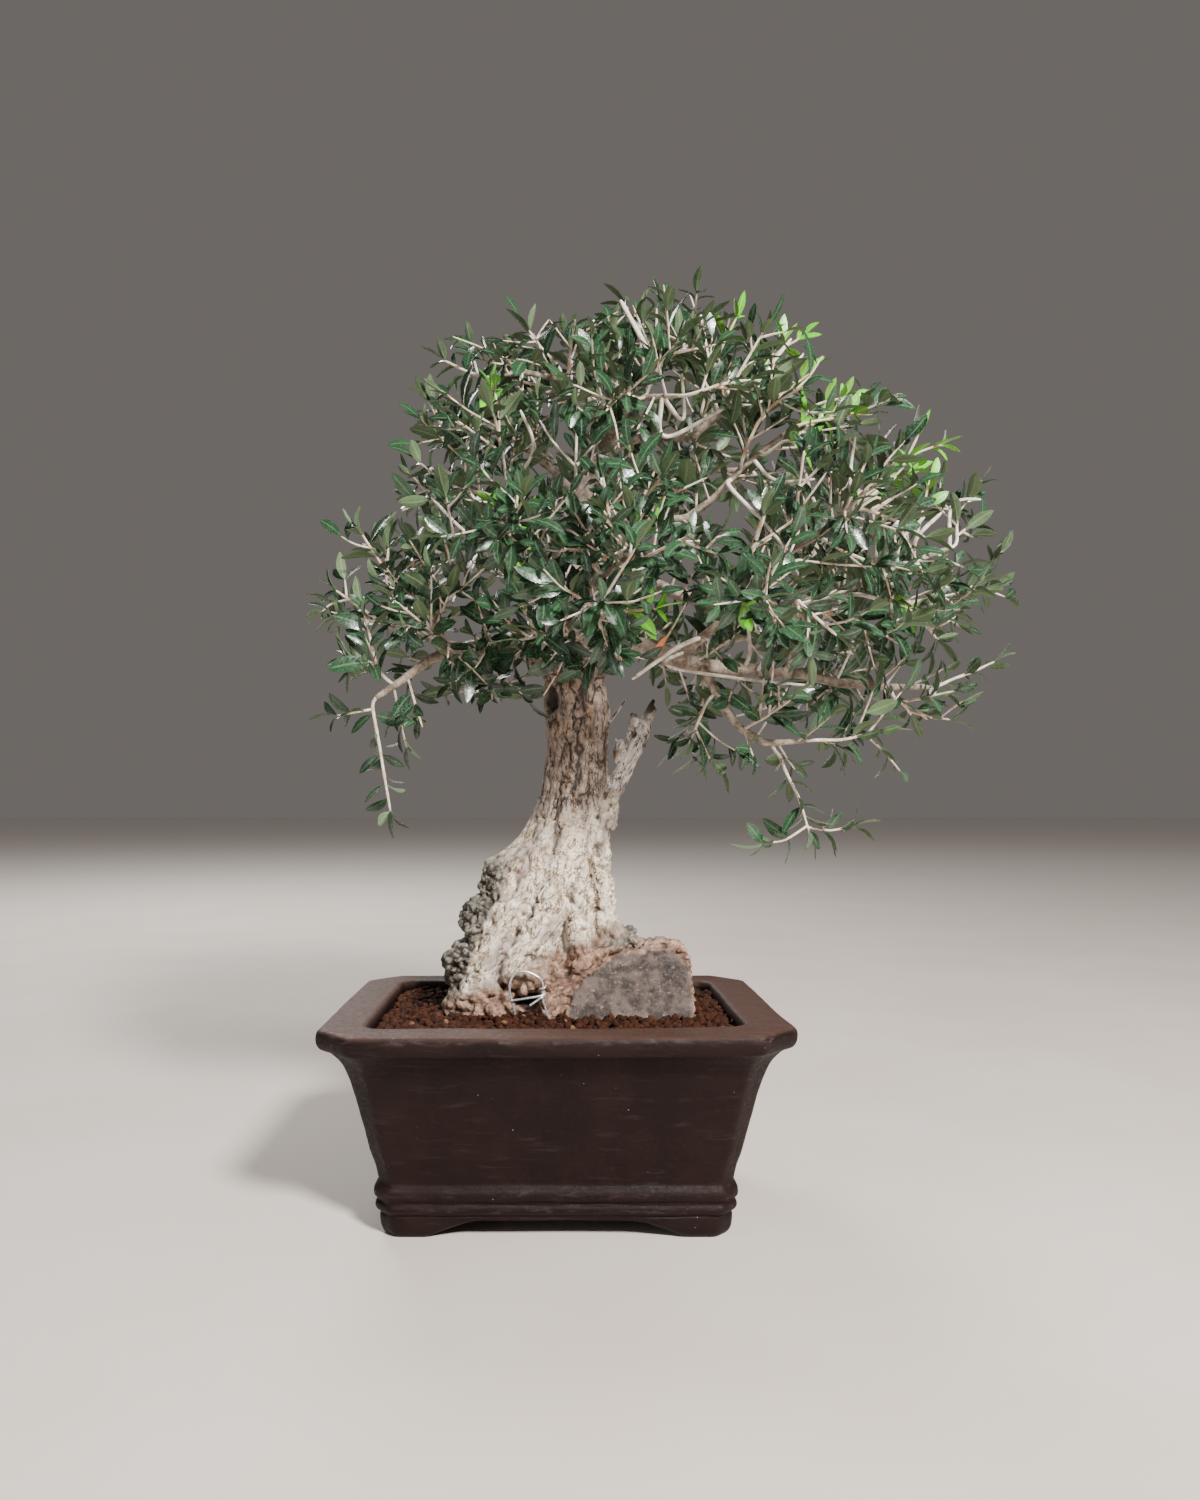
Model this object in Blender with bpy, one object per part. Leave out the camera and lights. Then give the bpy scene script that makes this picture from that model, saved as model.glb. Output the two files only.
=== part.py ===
"""Olive bonsai in an unglazed clay pot.

Sizes are in millimetres and become metres as each mesh is made. While the pieces are
shaped, the origin is on the floor under the middle of the pot, X runs to the right, Y away
from the front and Z up. At the end the whole object moves so that the middle of its box
stands over the origin.
"""

import math
import random

import bmesh
import bpy
from mathutils import Matrix, Vector, noise
from mathutils.bvhtree import BVHTree

MM = 0.001
GAP = 0.3
UP = Vector((0, 0, 1))

# Pot. A profile row is height, half length and how much is cut off each corner.
RIM_HALF_LENGTH = 140
RIM_HALF_DEPTH = 110
POT_HEIGHT = 126
DEPTH_LESS = RIM_HALF_LENGTH - RIM_HALF_DEPTH
FLOOR_UNDERSIDE = 11.5
FLOOR_TOP = 22
POT_OUTSIDE = (
    (0, 102, 8), (1.6, 104, 8.6), (5, 105.4, 9), (11.5, 105.8, 9.3), (13.2, 105.2, 9),
    (15.2, 107.8, 9.5), (19, 108.4, 10), (21.2, 106.8, 9.4), (23.4, 108.6, 9.6),
    (28, 109, 10), (31.5, 106.2, 8.8), (42, 108, 9.2), (51, 110.6, 9.8), (73, 115.6, 11), (90.5, 120, 12.4),
    (102, 124, 14), (108.5, 128.6, 16.4), (112.5, 133.6, 19), (116, 138.2, 21.6), (118.5, 140, 22.5),
    (123.4, 140, 22.5), (126, 137.6, 21),
)
POT_INSIDE = (
    (126, 113, 7), (124.8, 111.6, 6), (100, 110.5, 6), (60, 105, 6), (27, 97.5, 6), (22, 93, 6),
)
ARCH_ALONG_X = ((78, -1), (71, 2.2), (58, 7), (51, 9.6), (45, 10.8))
ARCH_ALONG_Y = ((50, -1), (43, 2.2), (31, 7), (25, 9.6), (19, 10.8))
FOOT_INNER_HALF = 91
FOOT_INNER_CUT = 9.5
DRAIN_X = 50
DRAIN_RADIUS = 13
WIRE_HOLE_RADIUS = 2.4
MESH_SIDE = 34
MESH_THICKNESS = 1.4
MESH_HOLES = 3
MESH_HOLE = 7

# Soil
SOIL_TOP = 119.6
SOIL_MOUND = 3.6
GRAIN_PITCH = 12
GRAIN_RISE = 1.5

# Tie wire
WIRE_RADIUS = 0.75
WIRE_LEFT = (-26, -28)
WIRE_RIGHT = (-5.7, -28)
WIRE_UNDERSIDE = FLOOR_UNDERSIDE - GAP - WIRE_RADIUS
WIRE_ARCH = (
    (-26, -28, 124), (-29.4, -29, 139), (-26.5, -29.5, 148.6), (-19, -29.6, 150.4),
    (-10.5, -29.4, 146.4), (-8.2, -29, 141), (-8.6, -28.4, 133), (-5.7, -28, 124),
)
WIRE_CROSS = ((-28.2, -28.8, 132.4), (-19, -30.4, 134), (-9, -28.6, 135.6))
WIRE_TAIL = ((-16.5, -31.4, 129.4), (-12.5, -30, 132), (-8.8, -28.5, 134.4))

# Trunk. A ring is height, middle X, middle Y, half width and half depth.
TRUNK_RINGS = (
    (98, 6, 22, 58, 34), (110, 8, 23, 70, 38), (120, 10.5, 24, 78, 41), (133, 11, 24, 77, 42),
    (147, 9, 24, 76, 42), (158, 5, 23, 68.5, 41), (166, -3, 22, 57.5, 40), (176, -7, 21, 49, 38.5),
    (190, -7, 19, 45, 36.5), (206, -4, 18, 41.5, 33), (219, -1, 17, 37.5, 30),
    (232, 6, 17, 31, 27.5), (247, 11.5, 17, 26.5, 25), (266, 14, 17, 22, 22),
    (292, 15, 17, 20, 20.5), (314, 14.5, 17, 20.5, 20), (334, 12.5, 17, 20.5, 19.5),
    (343, 12, 17, 18.5, 17.5),
)
TRUNK_SIDES = 16
# A lump is middle, half sizes and a turn about Z in degrees.
ROOT_LUMPS = (
    ((-38, 10, 202), (12, 15, 19), 10),
    ((-47, 8, 178), (16, 17, 18), 25),
    ((-56, 5, 150), (18, 20, 18), 0),
    ((-52, 0, 127), (20, 19, 16), -15),
    ((-17.5, -8, 139), (9, 16, 10), 0),
    ((4, -6, 122), (19, 15, 14), 0),
    ((-36, -8, 124), (15, 14, 14), 0),
)

# The sawn stub: its outline as X and Z, and the plane of its face.
STUB_OUTLINE = ((9, 112), (15, 127), (37, 158), (53, 163), (77, 163.5), (88, 150), (89, 112))
STUB_MIDDLE = Vector((52, -17.5, 142))
STUB_NORMAL = Vector((0.12, -0.95, 0.28))
STUB_SECTIONS = ((0.94, 0), (1.0, 3.5), (0.86, 44))

# Limbs: thickness at start and end, then the points they pass through.
LIMBS = {
    "leader": (11, 2.6, (
        (14, 16, 322), (11, 16, 367), (8, 18, 401), (11, 22, 439), (21, 26, 478), (38, 28, 509),
        (58, 24, 536), (67, 20, 571))),
    "low_left": (7, 1.8, (
        (5, 14, 326), (-2, 8, 345), (-19, 0, 356), (-43, -10, 358), (-65, -20, 356),
        (-82, -26, 347), (-98, -30, 334), (-113, -34, 323))),
    "far_left": (2.8, 1.4, (
        (-50, -14, 357), (-72, -8, 361), (-88, -3, 366), (-106, 0, 371), (-119, 2, 379))),
    "left_rise": (2.6, 1.4, ((-73, -23, 353), (-76, -27, 374), (-70, -33, 400), (-50, -37, 422))),
    "mid_left": (4, 1.4, ((9, 20, 420), (-11, 4, 438), (-34, -10, 451), (-55, -20, 459), (-71, -24, 469))),
    "up_left": (3.4, 1.4, ((17, 25, 462), (-4, 18, 484), (-27, 10, 500), (-49, 2, 508))),
    "top_left": (3.2, 1.4, ((38, 28, 509), (22, 22, 531), (3, 16, 543), (-22, 10, 545), (-44, 6, 540))),
    "back_left": (5, 1.8, ((10, 20, 385), (-10, 48, 412), (-38, 80, 432), (-72, 104, 446))),
    "back": (5.4, 1.8, ((11, 24, 412), (24, 55, 444), (34, 95, 478), (36, 128, 508))),
    "back_right": (4.6, 1.6, ((22, 27, 478), (60, 62, 497), (106, 95, 505), (150, 116, 512))),
    "back_low_right": (4.2, 1.6, ((62, -2, 357), (92, 30, 362), (124, 66, 374), (165, 92, 386), (208, 102, 398))),
    "back_low": (3.4, 1.6, ((16, 20, 350), (44, 52, 368), (72, 80, 372), (96, 92, 368))),
    "low_right": (7, 1.8, (
        (20, 12, 326), (26, 6, 345), (40, 0, 357), (57, -6, 360), (77, -10, 351), (96, -10, 346),
        (127, -6, 344), (161, 0, 342), (190, 3, 336), (222, 5, 334), (250, 6, 334))),
    "right_drop": (3.4, 1.6, ((95, -12, 345), (103, -17, 328), (116, -22, 306), (133, -24, 295), (160, -20, 297))),
    "mid_right": (5.4, 1.6, (
        (11, 20, 408), (34, 10, 417), (61, 0, 402), (92, -10, 389), (122, -14, 385),
        (153, -16, 384), (180, -14, 391), (206, -10, 404), (234, -6, 415), (258, -4, 424))),
    "far_right": (2.8, 1.4, ((155, -14, 384), (192, 2, 386), (230, 14, 390), (260, 20, 396))),
    "bright": (3.8, 1.4, (
        (16, 24, 458), (50, 10, 446), (85, -4, 443), (102, -15, 454), (118, -25, 470), (142, -34, 488))),
    "top_right": (3.8, 1.4, ((34, 28, 502), (64, 22, 506), (90, 10, 501), (108, 3, 514), (129, -3, 530))),
    "front": (4, 1.6, ((11, 16, 388), (19, -20, 392), (30, -58, 396), (42, -88, 400))),
    "front_left": (3.6, 1.4, ((8, 16, 402), (-6, -20, 412), (-20, -56, 420), (-28, -80, 424))),
    "front_low": (3.4, 1.4, ((8, 8, 343), (11, -26, 358), (20, -54, 365), (28, -80, 368))),
    "front_right": (3.4, 1.4, ((79, -12, 351), (98, -46, 366), (118, -78, 386), (136, -92, 396))),
    "front_top": (3, 1.3, ((37, 26, 508), (44, -6, 512), (56, -34, 512), (76, -52, 506))),
    "right_rise": (3, 1.3, ((152, -1, 343), (159, 10, 366), (166, 22, 402), (180, 30, 435), (204, 36, 466))),
    "right_upper": (3.2, 1.3, ((120, -14, 386), (134, -32, 402), (152, -46, 418), (180, -54, 434))),
    "dead_wood": (8, 3.4, ((29, 18, 252), (38, 18, 266), (47, 18, 280), (54, 19, 292), (59, 20, 304), (65, 22, 324))),
    "dead_wood_end": (3.6, 2, ((57, 19, 297), (53, 19, 307), (51.5, 19, 317))),
    "dead_wood_side": (2.8, 1.2, ((52, 18, 291), (46, 17, 297), (41, 16, 299))),
    "thin_stem": (1.8, 1.2, ((27, 28, 300), (38, 40, 314), (49, 46, 330))),
}
BARE_LIMBS = ("dead_wood", "dead_wood_end", "dead_wood_side", "thin_stem")
THICK_LIMB = 4.5
LIMB_SEGMENT = 34
LIMB_END = 0.9

# Sprays: the tip of each one's main twig. The twig leaves the limb that suits it best.
SPRAY_TIPS = {
    "left_far_up": (-109, -10, 423),
    "left_low_end": (-124, -38, 345),
    "left_low_front": (-79, -54, 368),
    "left_front": (-61, -62, 413),
    "left_high": (-74, 10, 471),
    "left_under": (-44, -14, 330),
    "left_trunk_front": (-22, -78, 353),
    "left_back": (-97, 112, 440),
    "left_crown_edge": (-80, 28, 508),
    "left_mid_front": (-32, -102, 416),
    "crown_left_front": (-38, -52, 495),
    "crown_left": (-18, 15, 572),
    "crown_left_back": (-40, 95, 560),
    "front_low_end": (26, -124, 368),
    "front_mid": (26, -122, 417),
    "front_high": (56, -97, 446),
    "front_right_end": (72, -126, 398),
    "back_high": (5, 150, 520),
    "back_mid": (52, 160, 456),
    "back_right_high": (108, 158, 524),
    "back_crown": (62, 112, 568),
    "crown_right": (97, 0, 574),
    "crown_front": (75, -57, 538),
    "crown_right_front": (117, -62, 512),
    "crown_back_right": (124, 92, 590),
    "right_high_front": (144, -85, 462),
    "right_high_back": (236, 62, 497),
    "right_high_end": (268, 10, 456),
    "right_front": (172, -82, 436),
    "right_mid_front": (116, -108, 418),
    "right_mid_outer": (226, -50, 420),
    "right_outer_front": (240, -32, 374),
    "right_front_low": (112, -140, 366),
    "right_low_front": (162, -88, 354),
    "right_low_hang": (238, 12, 316),
    "right_under_mid": (143, -54, 320),
    "drop_left": (86, -26, 298),
    "drop_right": (207, -14, 303),
    "right_back": (218, 140, 448),
    "right_back_low": (208, 86, 345),
    "back_low_end": (112, 104, 346),
}
# Sprays whose twigs are seen one by one: each route is a list of points, the first the main twig.
DRAWN_SPRAYS = {
    "left_tip": (
        ((-119, 2, 379), (-129, 1, 386), (-138, 0, 392), (-145, 0, 397)),
        ((-137, 0, 391), (-149, 2, 389), (-155, 4, 384)),
        ((-138, 0, 392), (-139, -1, 404))),
    "hanging_twig": (
        ((-113, -34, 323), (-115, -34, 315), (-111, -34, 294), (-108, -34, 275), (-104, -34, 252)),
        ((-115, -34, 316), (-126, -35, 314), (-137, -36, 312))),
    "crown_left_stub": (
        ((-44, 6, 540), (-60, 6, 544), (-74, 6, 551)),
        ((-52, 6, 542), (-56, 0, 556))),
    "front_fork": (
        ((11, -20, 440), (12, -50, 452), (12, -58, 464), (13, -58, 498)),
        ((12, -57, 461), (-2, -58, 476), (-10, -58, 489)),
        ((12, -57, 461), (24, -58, 476))),
    "drop_end": (
        ((136, -24, 295), (144, -20, 287), (147, -20, 277), (155, -20, 262), (162, -20, 239)),
        ((161, -20, 242.4), (147, -20, 233), (132, -22, 231)),
        ((161, -20, 241.6), (176, -18, 239), (191, -16, 242))),
    "right_tip": (
        ((260, 20, 396), (272, 21, 399), (284, 22, 404), (300, 22, 426)),
        ((283, 22, 403), (298, 22, 400), (305, 22, 397))),
    "right_low_tip": (
        ((250, 6, 334), (263, 8, 339), (277, 8, 344), (292, 8, 351)),),
}
YOUNG_SPRAYS = {
    "young_right_arc": (
        ((142, -34, 488), (154, -38, 494), (170, -40, 496), (184, -42, 498)),
        ((170, -40, 496), (175, -46, 507))),
    "young_crown": (
        ((129, -3, 530), (137, -6, 544), (147, -8, 556)),),
    "young_top": (
        ((90, 10, 501), (100, 14, 530), (110, 10, 560), (120, 8, 580)),),
    "young_right_stub": (
        ((180, 30, 435), (205, 18, 462), (228, 4, 476), (239, 0, 500)),
        ((233, 3, 486), (246, 0, 491), (254, 0, 493))),
    "young_front": (
        ((28, -80, 368), (44, -84, 369), (58, -86, 370)),),
}
TOP_SPRAY = {
    "crown_top": (
        ((67, 20, 571), (68, 19, 581), (68, 18, 591)),
        ((67, 20, 573), (57, 20, 583), (47, 20, 594))),
}

# Leaves
TWIG_RADIUS = 1.0
SHOOT_RADIUS = 0.8
LEAF_LENGTH = 21
LEAF_SLIMNESS = 0.3
LEAF_THICKNESS = 0.9
LEAF_STATIONS = ((0.3, 0.86, 0.04), (0.68, 0.8, 0.03))
LEAF_STEP = 17
SHOOTS_A_SPRAY = 2
MOST_PAIRS = 1
LEAVES_KEPT = 0.86
SHOOT_LENGTH = 34
CLEARANCE = 0.5
TRIES = 14
NUDGES = (0, 0.12, -0.12, 0.2)

COLOURS = {
    "clay": ((0.045, 0.026, 0.021), 0.75, 0.0),
    "soil": ((0.12, 0.035, 0.016), 0.95, 0.0),
    "wood": ((0.33, 0.26, 0.20), 0.85, 0.0),
    "leaves": ((0.045, 0.10, 0.045), 0.4, 0.0),
    "young_leaves": ((0.15, 0.42, 0.03), 0.4, 0.0),
    "wire": ((0.72, 0.73, 0.75), 0.3, 1.0),
    "mesh": ((0.02, 0.02, 0.02), 0.6, 0.0),
}


def clear_scene():
    for thing in list(bpy.data.objects):
        bpy.data.objects.remove(thing, do_unlink=True)


def material(name):
    found = bpy.data.materials.get(name)
    if found:
        return found
    colour, roughness, metallic = COLOURS[name]
    made = bpy.data.materials.new(name)
    made.use_nodes = True
    shader = made.node_tree.nodes["Principled BSDF"]
    shader.inputs["Base Color"].default_value = (*colour, 1)
    shader.inputs["Roughness"].default_value = roughness
    shader.inputs["Metallic"].default_value = metallic
    made.diffuse_color = (*colour, 1)
    return made


def solid(name, points, faces, look=None):
    """An object from points in millimetres, its faces turned outwards."""
    mesh = bpy.data.meshes.new(name)
    mesh.from_pydata([Vector(point) * MM for point in points], [], faces)
    bm = bmesh.new()
    bm.from_mesh(mesh)
    bmesh.ops.recalc_face_normals(bm, faces=bm.faces)
    bm.to_mesh(mesh)
    bm.free()
    thing = bpy.data.objects.new(name, mesh)
    bpy.context.scene.collection.objects.link(thing)
    if look:
        mesh.materials.append(material(look))
    return thing


def lofted(rings):
    """Points and faces of a closed body through rings that have the same number of points."""
    count = len(rings[0])
    points = [point for ring in rings for point in ring]
    faces = [tuple(range(count))]
    for row in range(len(rings) - 1):
        for side in range(count):
            after = (side + 1) % count
            low, high = row * count, (row + 1) * count
            faces.append((low + side, low + after, high + after, high + side))
    faces.append(tuple(range((len(rings) - 1) * count, len(rings) * count)))
    return points, faces


def is_one_body(mesh):
    """Whether every edge has two faces and all the faces hang together by their edges."""
    bm = bmesh.new()
    bm.from_mesh(mesh)
    bm.faces.ensure_lookup_table()
    whole = len(bm.faces) > 0 and all(len(edge.link_faces) == 2 for edge in bm.edges)
    waiting = [bm.faces[0]] if whole else []
    reached = set(waiting)
    while waiting:
        for edge in waiting.pop().edges:
            for face in edge.link_faces:
                if face not in reached:
                    reached.add(face)
                    waiting.append(face)
    whole = whole and len(reached) == len(bm.faces)
    bm.free()
    return whole


def tidied(mesh):
    """Joins points that a Boolean left on top of each other and drops faces with no area."""
    bm = bmesh.new()
    bm.from_mesh(mesh)
    bmesh.ops.remove_doubles(bm, verts=bm.verts, dist=0.002 * MM)
    bmesh.ops.dissolve_degenerate(bm, edges=bm.edges, dist=0.002 * MM)
    bm.to_mesh(mesh)
    bm.free()
    return mesh


def joined(base, others, operation="UNION"):
    """Base with the others united to it, or cut from it. The others are removed."""
    group = bpy.data.collections.new("others")
    bpy.context.scene.collection.children.link(group)
    for other in others:
        group.objects.link(other)
        bpy.context.scene.collection.objects.unlink(other)
    change = base.modifiers.new("change", "BOOLEAN")
    change.operation = operation
    change.operand_type = "COLLECTION"
    change.collection = group
    for solver in ("EXACT", "MANIFOLD"):
        change.solver = solver
        bpy.context.view_layer.update()
        evaluated = base.evaluated_get(bpy.context.evaluated_depsgraph_get())
        result = tidied(bpy.data.meshes.new_from_object(evaluated))
        if is_one_body(result):
            break
    base.modifiers.clear()
    base.data = result
    for other in others:
        bpy.data.objects.remove(other, do_unlink=True)
    bpy.data.collections.remove(group)
    return base


def shade(thing, angle=40):
    thing.data.shade_smooth()
    thing.data.set_sharp_from_angle(angle=math.radians(angle))
    return thing


def cut_rectangle(half_x, cut, z, grow=0.0):
    """A level ring of the pot: a rectangle with cut corners."""
    x, y = half_x + grow, half_x - DEPTH_LESS + grow
    quarter = [(x, y - cut), (x - cut, y)]
    ring = quarter + [(-x, y) for x, y in reversed(quarter)]
    return [(x, y, z) for x, y in ring + [(-x, -y) for x, y in ring]]


def upright(name, outline, low, high):
    """A straight prism over a level outline."""
    rings = [[(x, y, z) for x, y in outline] for z in (low, high)]
    return solid(name, *lofted(rings))


def disc(x, y, radius, sides=16):
    turn = math.tau / sides
    return [(x + radius * math.cos(turn * k), y + radius * math.sin(turn * k)) for k in range(sides)]


def arch_cutter(half_arch, along_x):
    outline = [*half_arch, *[(-across, z) for across, z in reversed(half_arch)]]
    reach = RIM_HALF_LENGTH
    rings = []
    for along in (-reach, reach):
        rings.append([(across, along, z) if along_x else (along, across, z) for across, z in outline])
    return solid("arch", *lofted(rings))


def make_pot():
    rings = [cut_rectangle(half, cut, z) for z, half, cut in POT_OUTSIDE + POT_INSIDE]
    pot = solid("pot", *lofted(rings), "clay")
    hollow = [point[:2] for point in cut_rectangle(FOOT_INNER_HALF, FOOT_INNER_CUT, 0)]
    cutters = [
        upright("underside", hollow, -2, FLOOR_UNDERSIDE),
        arch_cutter(ARCH_ALONG_X, True),
        arch_cutter(ARCH_ALONG_Y, False),
    ]
    for x in (-DRAIN_X, DRAIN_X):
        cutters.append(upright("drain", disc(x, 0, DRAIN_RADIUS), 5, FLOOR_TOP + 10))
    for x, y in (WIRE_LEFT, WIRE_RIGHT):
        cutters.append(upright("wire_hole", disc(x, y, WIRE_HOLE_RADIUS, 8), 5, FLOOR_TOP + 10))
    return shade(joined(pot, cutters, "DIFFERENCE"), 35)


def make_mesh(name, x):
    half = MESH_SIDE / 2
    low = FLOOR_TOP + GAP
    plate = upright(name, [(x - half, -half), (x + half, -half), (x + half, half), (x - half, half)],
                    low, low + MESH_THICKNESS)
    plate.data.materials.append(material("mesh"))
    pitch = MESH_SIDE / (MESH_HOLES + 0.4)
    holes = []
    for row in range(MESH_HOLES):
        for column in range(MESH_HOLES):
            middle_x = x + (column - (MESH_HOLES - 1) / 2) * pitch
            middle_y = (row - (MESH_HOLES - 1) / 2) * pitch
            side = MESH_HOLE / 2
            square = [(middle_x - side, middle_y - side), (middle_x + side, middle_y - side),
                      (middle_x + side, middle_y + side), (middle_x - side, middle_y + side)]
            holes.append(upright("hole", square, low - 1, low + MESH_THICKNESS + 1))
    return joined(plate, holes, "DIFFERENCE")


def smooth_path(points, spacing):
    """Points about `spacing` apart on a smooth curve through the given points."""
    points = [Vector(point) for point in points]
    if len(points) == 2:
        points.insert(1, (points[0] + points[1]) / 2)
    guide = [2 * points[0] - points[1], *points, 2 * points[-1] - points[-2]]
    path = [points[0]]
    for index in range(1, len(guide) - 2):
        a, b, c, d = guide[index - 1:index + 3]
        steps = max(1, round((c - b).length / spacing))
        for step in range(1, steps + 1):
            t = step / steps
            path.append(
                0.5 * (2 * b + (c - a) * t + (2 * a - 5 * b + 4 * c - d) * t * t
                       + (3 * b - a - 3 * c + d) * t * t * t))
    return path


def tube_rings(path, radius_start, radius_end, sides):
    """Rings round a path, turned as little as possible from one to the next."""
    heading = (path[1] - path[0]).normalized()
    side = heading.orthogonal().normalized()
    rings = []
    for index, point in enumerate(path):
        before = path[max(index - 1, 0)]
        after = path[min(index + 1, len(path) - 1)]
        heading = (after - before).normalized()
        side = (side - heading * side.dot(heading)).normalized()
        other = heading.cross(side)
        share = index / (len(path) - 1)
        radius = radius_start + (radius_end - radius_start) * share
        rings.append([
            point + radius * (side * math.cos(math.tau * k / sides) + other * math.sin(math.tau * k / sides))
            for k in range(sides)])
    return rings


def tube(name, path, radius_start, radius_end, sides):
    return solid(name, *lofted(tube_rings(path, radius_start, radius_end, sides)))


def trunk_ring(z, x, y, half_x, half_y, grow, sides):
    """A trunk section, its outline swelling and shrinking as the roots and old wood run up it."""
    ring = []
    for k in range(sides):
        angle = math.tau * k / sides
        flare = max(0.0, (200 - z) / 100)
        swell = 1 + 0.05 * math.sin(3 * angle + z * 0.02) + 0.05 * flare * math.sin(7 * angle + 1.5)
        ring.append((
            x + (half_x * swell + grow) * math.cos(angle),
            y + (half_y * swell + grow) * math.sin(angle), z))
    return ring


def make_trunk(name, grow=0.0, top=1000):
    rings = [trunk_ring(*ring, grow, TRUNK_SIDES) for ring in TRUNK_RINGS if ring[0] < top]
    if grow:
        rings[0] = [(x, y, z - grow) for x, y, z in rings[0]]
    return solid(name, *lofted(rings))


def make_lump(middle, halves, turn, grow=0.0):
    bm = bmesh.new()
    bmesh.ops.create_icosphere(bm, subdivisions=2, radius=1)
    for point in bm.verts:
        direction = point.co.normalized()
        rough = 1 + 0.3 * noise.noise(direction * 1.5 + Vector(middle))
        size = [half * rough + grow for half in halves]
        point.co = Vector((direction.x * size[0], direction.y * size[1], direction.z * size[2]))
    place = Matrix.Translation(Vector(middle)) @ Matrix.Rotation(math.radians(turn), 4, "Z")
    bmesh.ops.transform(bm, matrix=place, verts=bm.verts)
    points = [point.co.copy() for point in bm.verts]
    faces = [[point.index for point in face.verts] for face in bm.faces]
    bm.free()
    return solid("lump", points, faces)


def make_stub(grow=0.0):
    """The stub of a sawn root: its outline set back from the face, with the face's edge bevelled."""
    middle_x, middle_z = STUB_MIDDLE.x, STUB_MIDDLE.z
    last = len(STUB_SECTIONS) - 1
    rings = []
    for row, (share, back) in enumerate(STUB_SECTIONS):
        ring = []
        for x, z in STUB_OUTLINE:
            away = Vector((x - middle_x, z - middle_z))
            away = away * share + away.normalized() * grow
            tilt = (STUB_NORMAL.x * away.x + STUB_NORMAL.z * away.y) / STUB_NORMAL.y
            further = -grow if row == 0 else grow if row == last else 0
            ring.append((middle_x + away.x, STUB_MIDDLE.y - tilt + back + further, middle_z + away.y))
        rings.append(ring)
    return solid("stub", *lofted(rings))


def make_wood():
    wood = make_trunk("trunk_and_limbs")
    pieces = [make_stub(), *[make_lump(*lump) for lump in ROOT_LUMPS]]
    for start, end, points in LIMBS.values():
        path = smooth_path(points, LIMB_SEGMENT)
        pieces.append(tube("limb", path, start, end, 6 if start > THICK_LIMB else 5))
    joined(wood, pieces)
    wood.data.materials.clear()
    wood.data.materials.append(material("wood"))
    return shade(wood, 60)


def soil_height(x, y):
    """The bed is a little higher round the trunk than along the rim."""
    away = math.hypot((x - 8) / 95, (y - 20) / 70)
    return SOIL_TOP + SOIL_MOUND * max(0.0, 1 - away) ** 0.7


def make_soil():
    inside = [row for row in POT_INSIDE if row[0] < 124]
    rings = [cut_rectangle(half, cut, z, -GAP) for z, half, cut in reversed(inside)]
    rings[0] = [(x, y, FLOOR_TOP + GAP) for x, y, z in rings[0]]
    top_half, top_cut = POT_INSIDE[1][1], POT_INSIDE[1][2]
    rings.append(cut_rectangle(top_half, top_cut, POT_INSIDE[1][0], -GAP))
    rings.append(cut_rectangle(top_half, top_cut, POT_HEIGHT + 8, -GAP))
    soil = solid("soil", *lofted(rings), "soil")
    draw = random.Random(11)
    columns = math.ceil(2 * RIM_HALF_LENGTH / GRAIN_PITCH)
    rows = math.ceil(2 * RIM_HALF_DEPTH / GRAIN_PITCH)
    points, faces = [], []
    for row in range(rows + 1):
        for column in range(columns + 1):
            shift = 0.25 * GRAIN_PITCH
            x = (column - columns / 2) * GRAIN_PITCH + draw.uniform(-shift, shift)
            y = (row - rows / 2) * GRAIN_PITCH + draw.uniform(-shift, shift)
            rise = GRAIN_RISE if (row + column) % 2 else -GRAIN_RISE * 0.6
            points.append((x, y, soil_height(x, y) + rise * draw.uniform(0.5, 1.1)))
    wide = columns + 1
    for row in range(rows):
        for column in range(columns):
            a = row * wide + column
            corners = (a, a + 1, a + wide + 1, a + wide)
            if (row + column) % 2:
                corners = corners[1:] + corners[:1]
            faces.append((corners[0], corners[1], corners[2]))
            faces.append((corners[0], corners[2], corners[3]))
    edge = [*range(wide), *[row * wide + columns for row in range(1, rows + 1)],
            *[rows * wide + column for column in range(columns - 1, -1, -1)],
            *[row * wide for row in range(rows - 1, 0, -1)]]
    lid = len(points)
    points.extend((points[index][0], points[index][1], POT_HEIGHT + 30) for index in edge)
    for step in range(len(edge)):
        after = (step + 1) % len(edge)
        faces.append((edge[step], lid + step, lid + after, edge[after]))
    faces.append(tuple(lid + step for step in range(len(edge))))
    above = solid("above", points, faces)
    cutters = [above, make_trunk("root_space", GAP + 0.25, POT_HEIGHT + 20), make_stub(GAP + 0.25)]
    for lump in ROOT_LUMPS:
        if lump[0][2] - lump[1][2] < POT_HEIGHT:
            cutters.append(make_lump(*lump, GAP + 0.25))
    for x, y in (WIRE_LEFT, WIRE_RIGHT):
        cutters.append(upright("leg", disc(x, y, WIRE_RADIUS + 0.4, 6), 10, POT_HEIGHT + 10))
    half = MESH_SIDE / 2 + GAP
    for x in (-DRAIN_X, DRAIN_X):
        square = [(x - half, -half), (x + half, -half), (x + half, half), (x - half, half)]
        cutters.append(upright("mesh_space", square, 10, FLOOR_TOP + 2 * GAP + MESH_THICKNESS))
    for cutter in cutters:
        joined(soil, [cutter], "DIFFERENCE")
    return shade(soil, 20)


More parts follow.
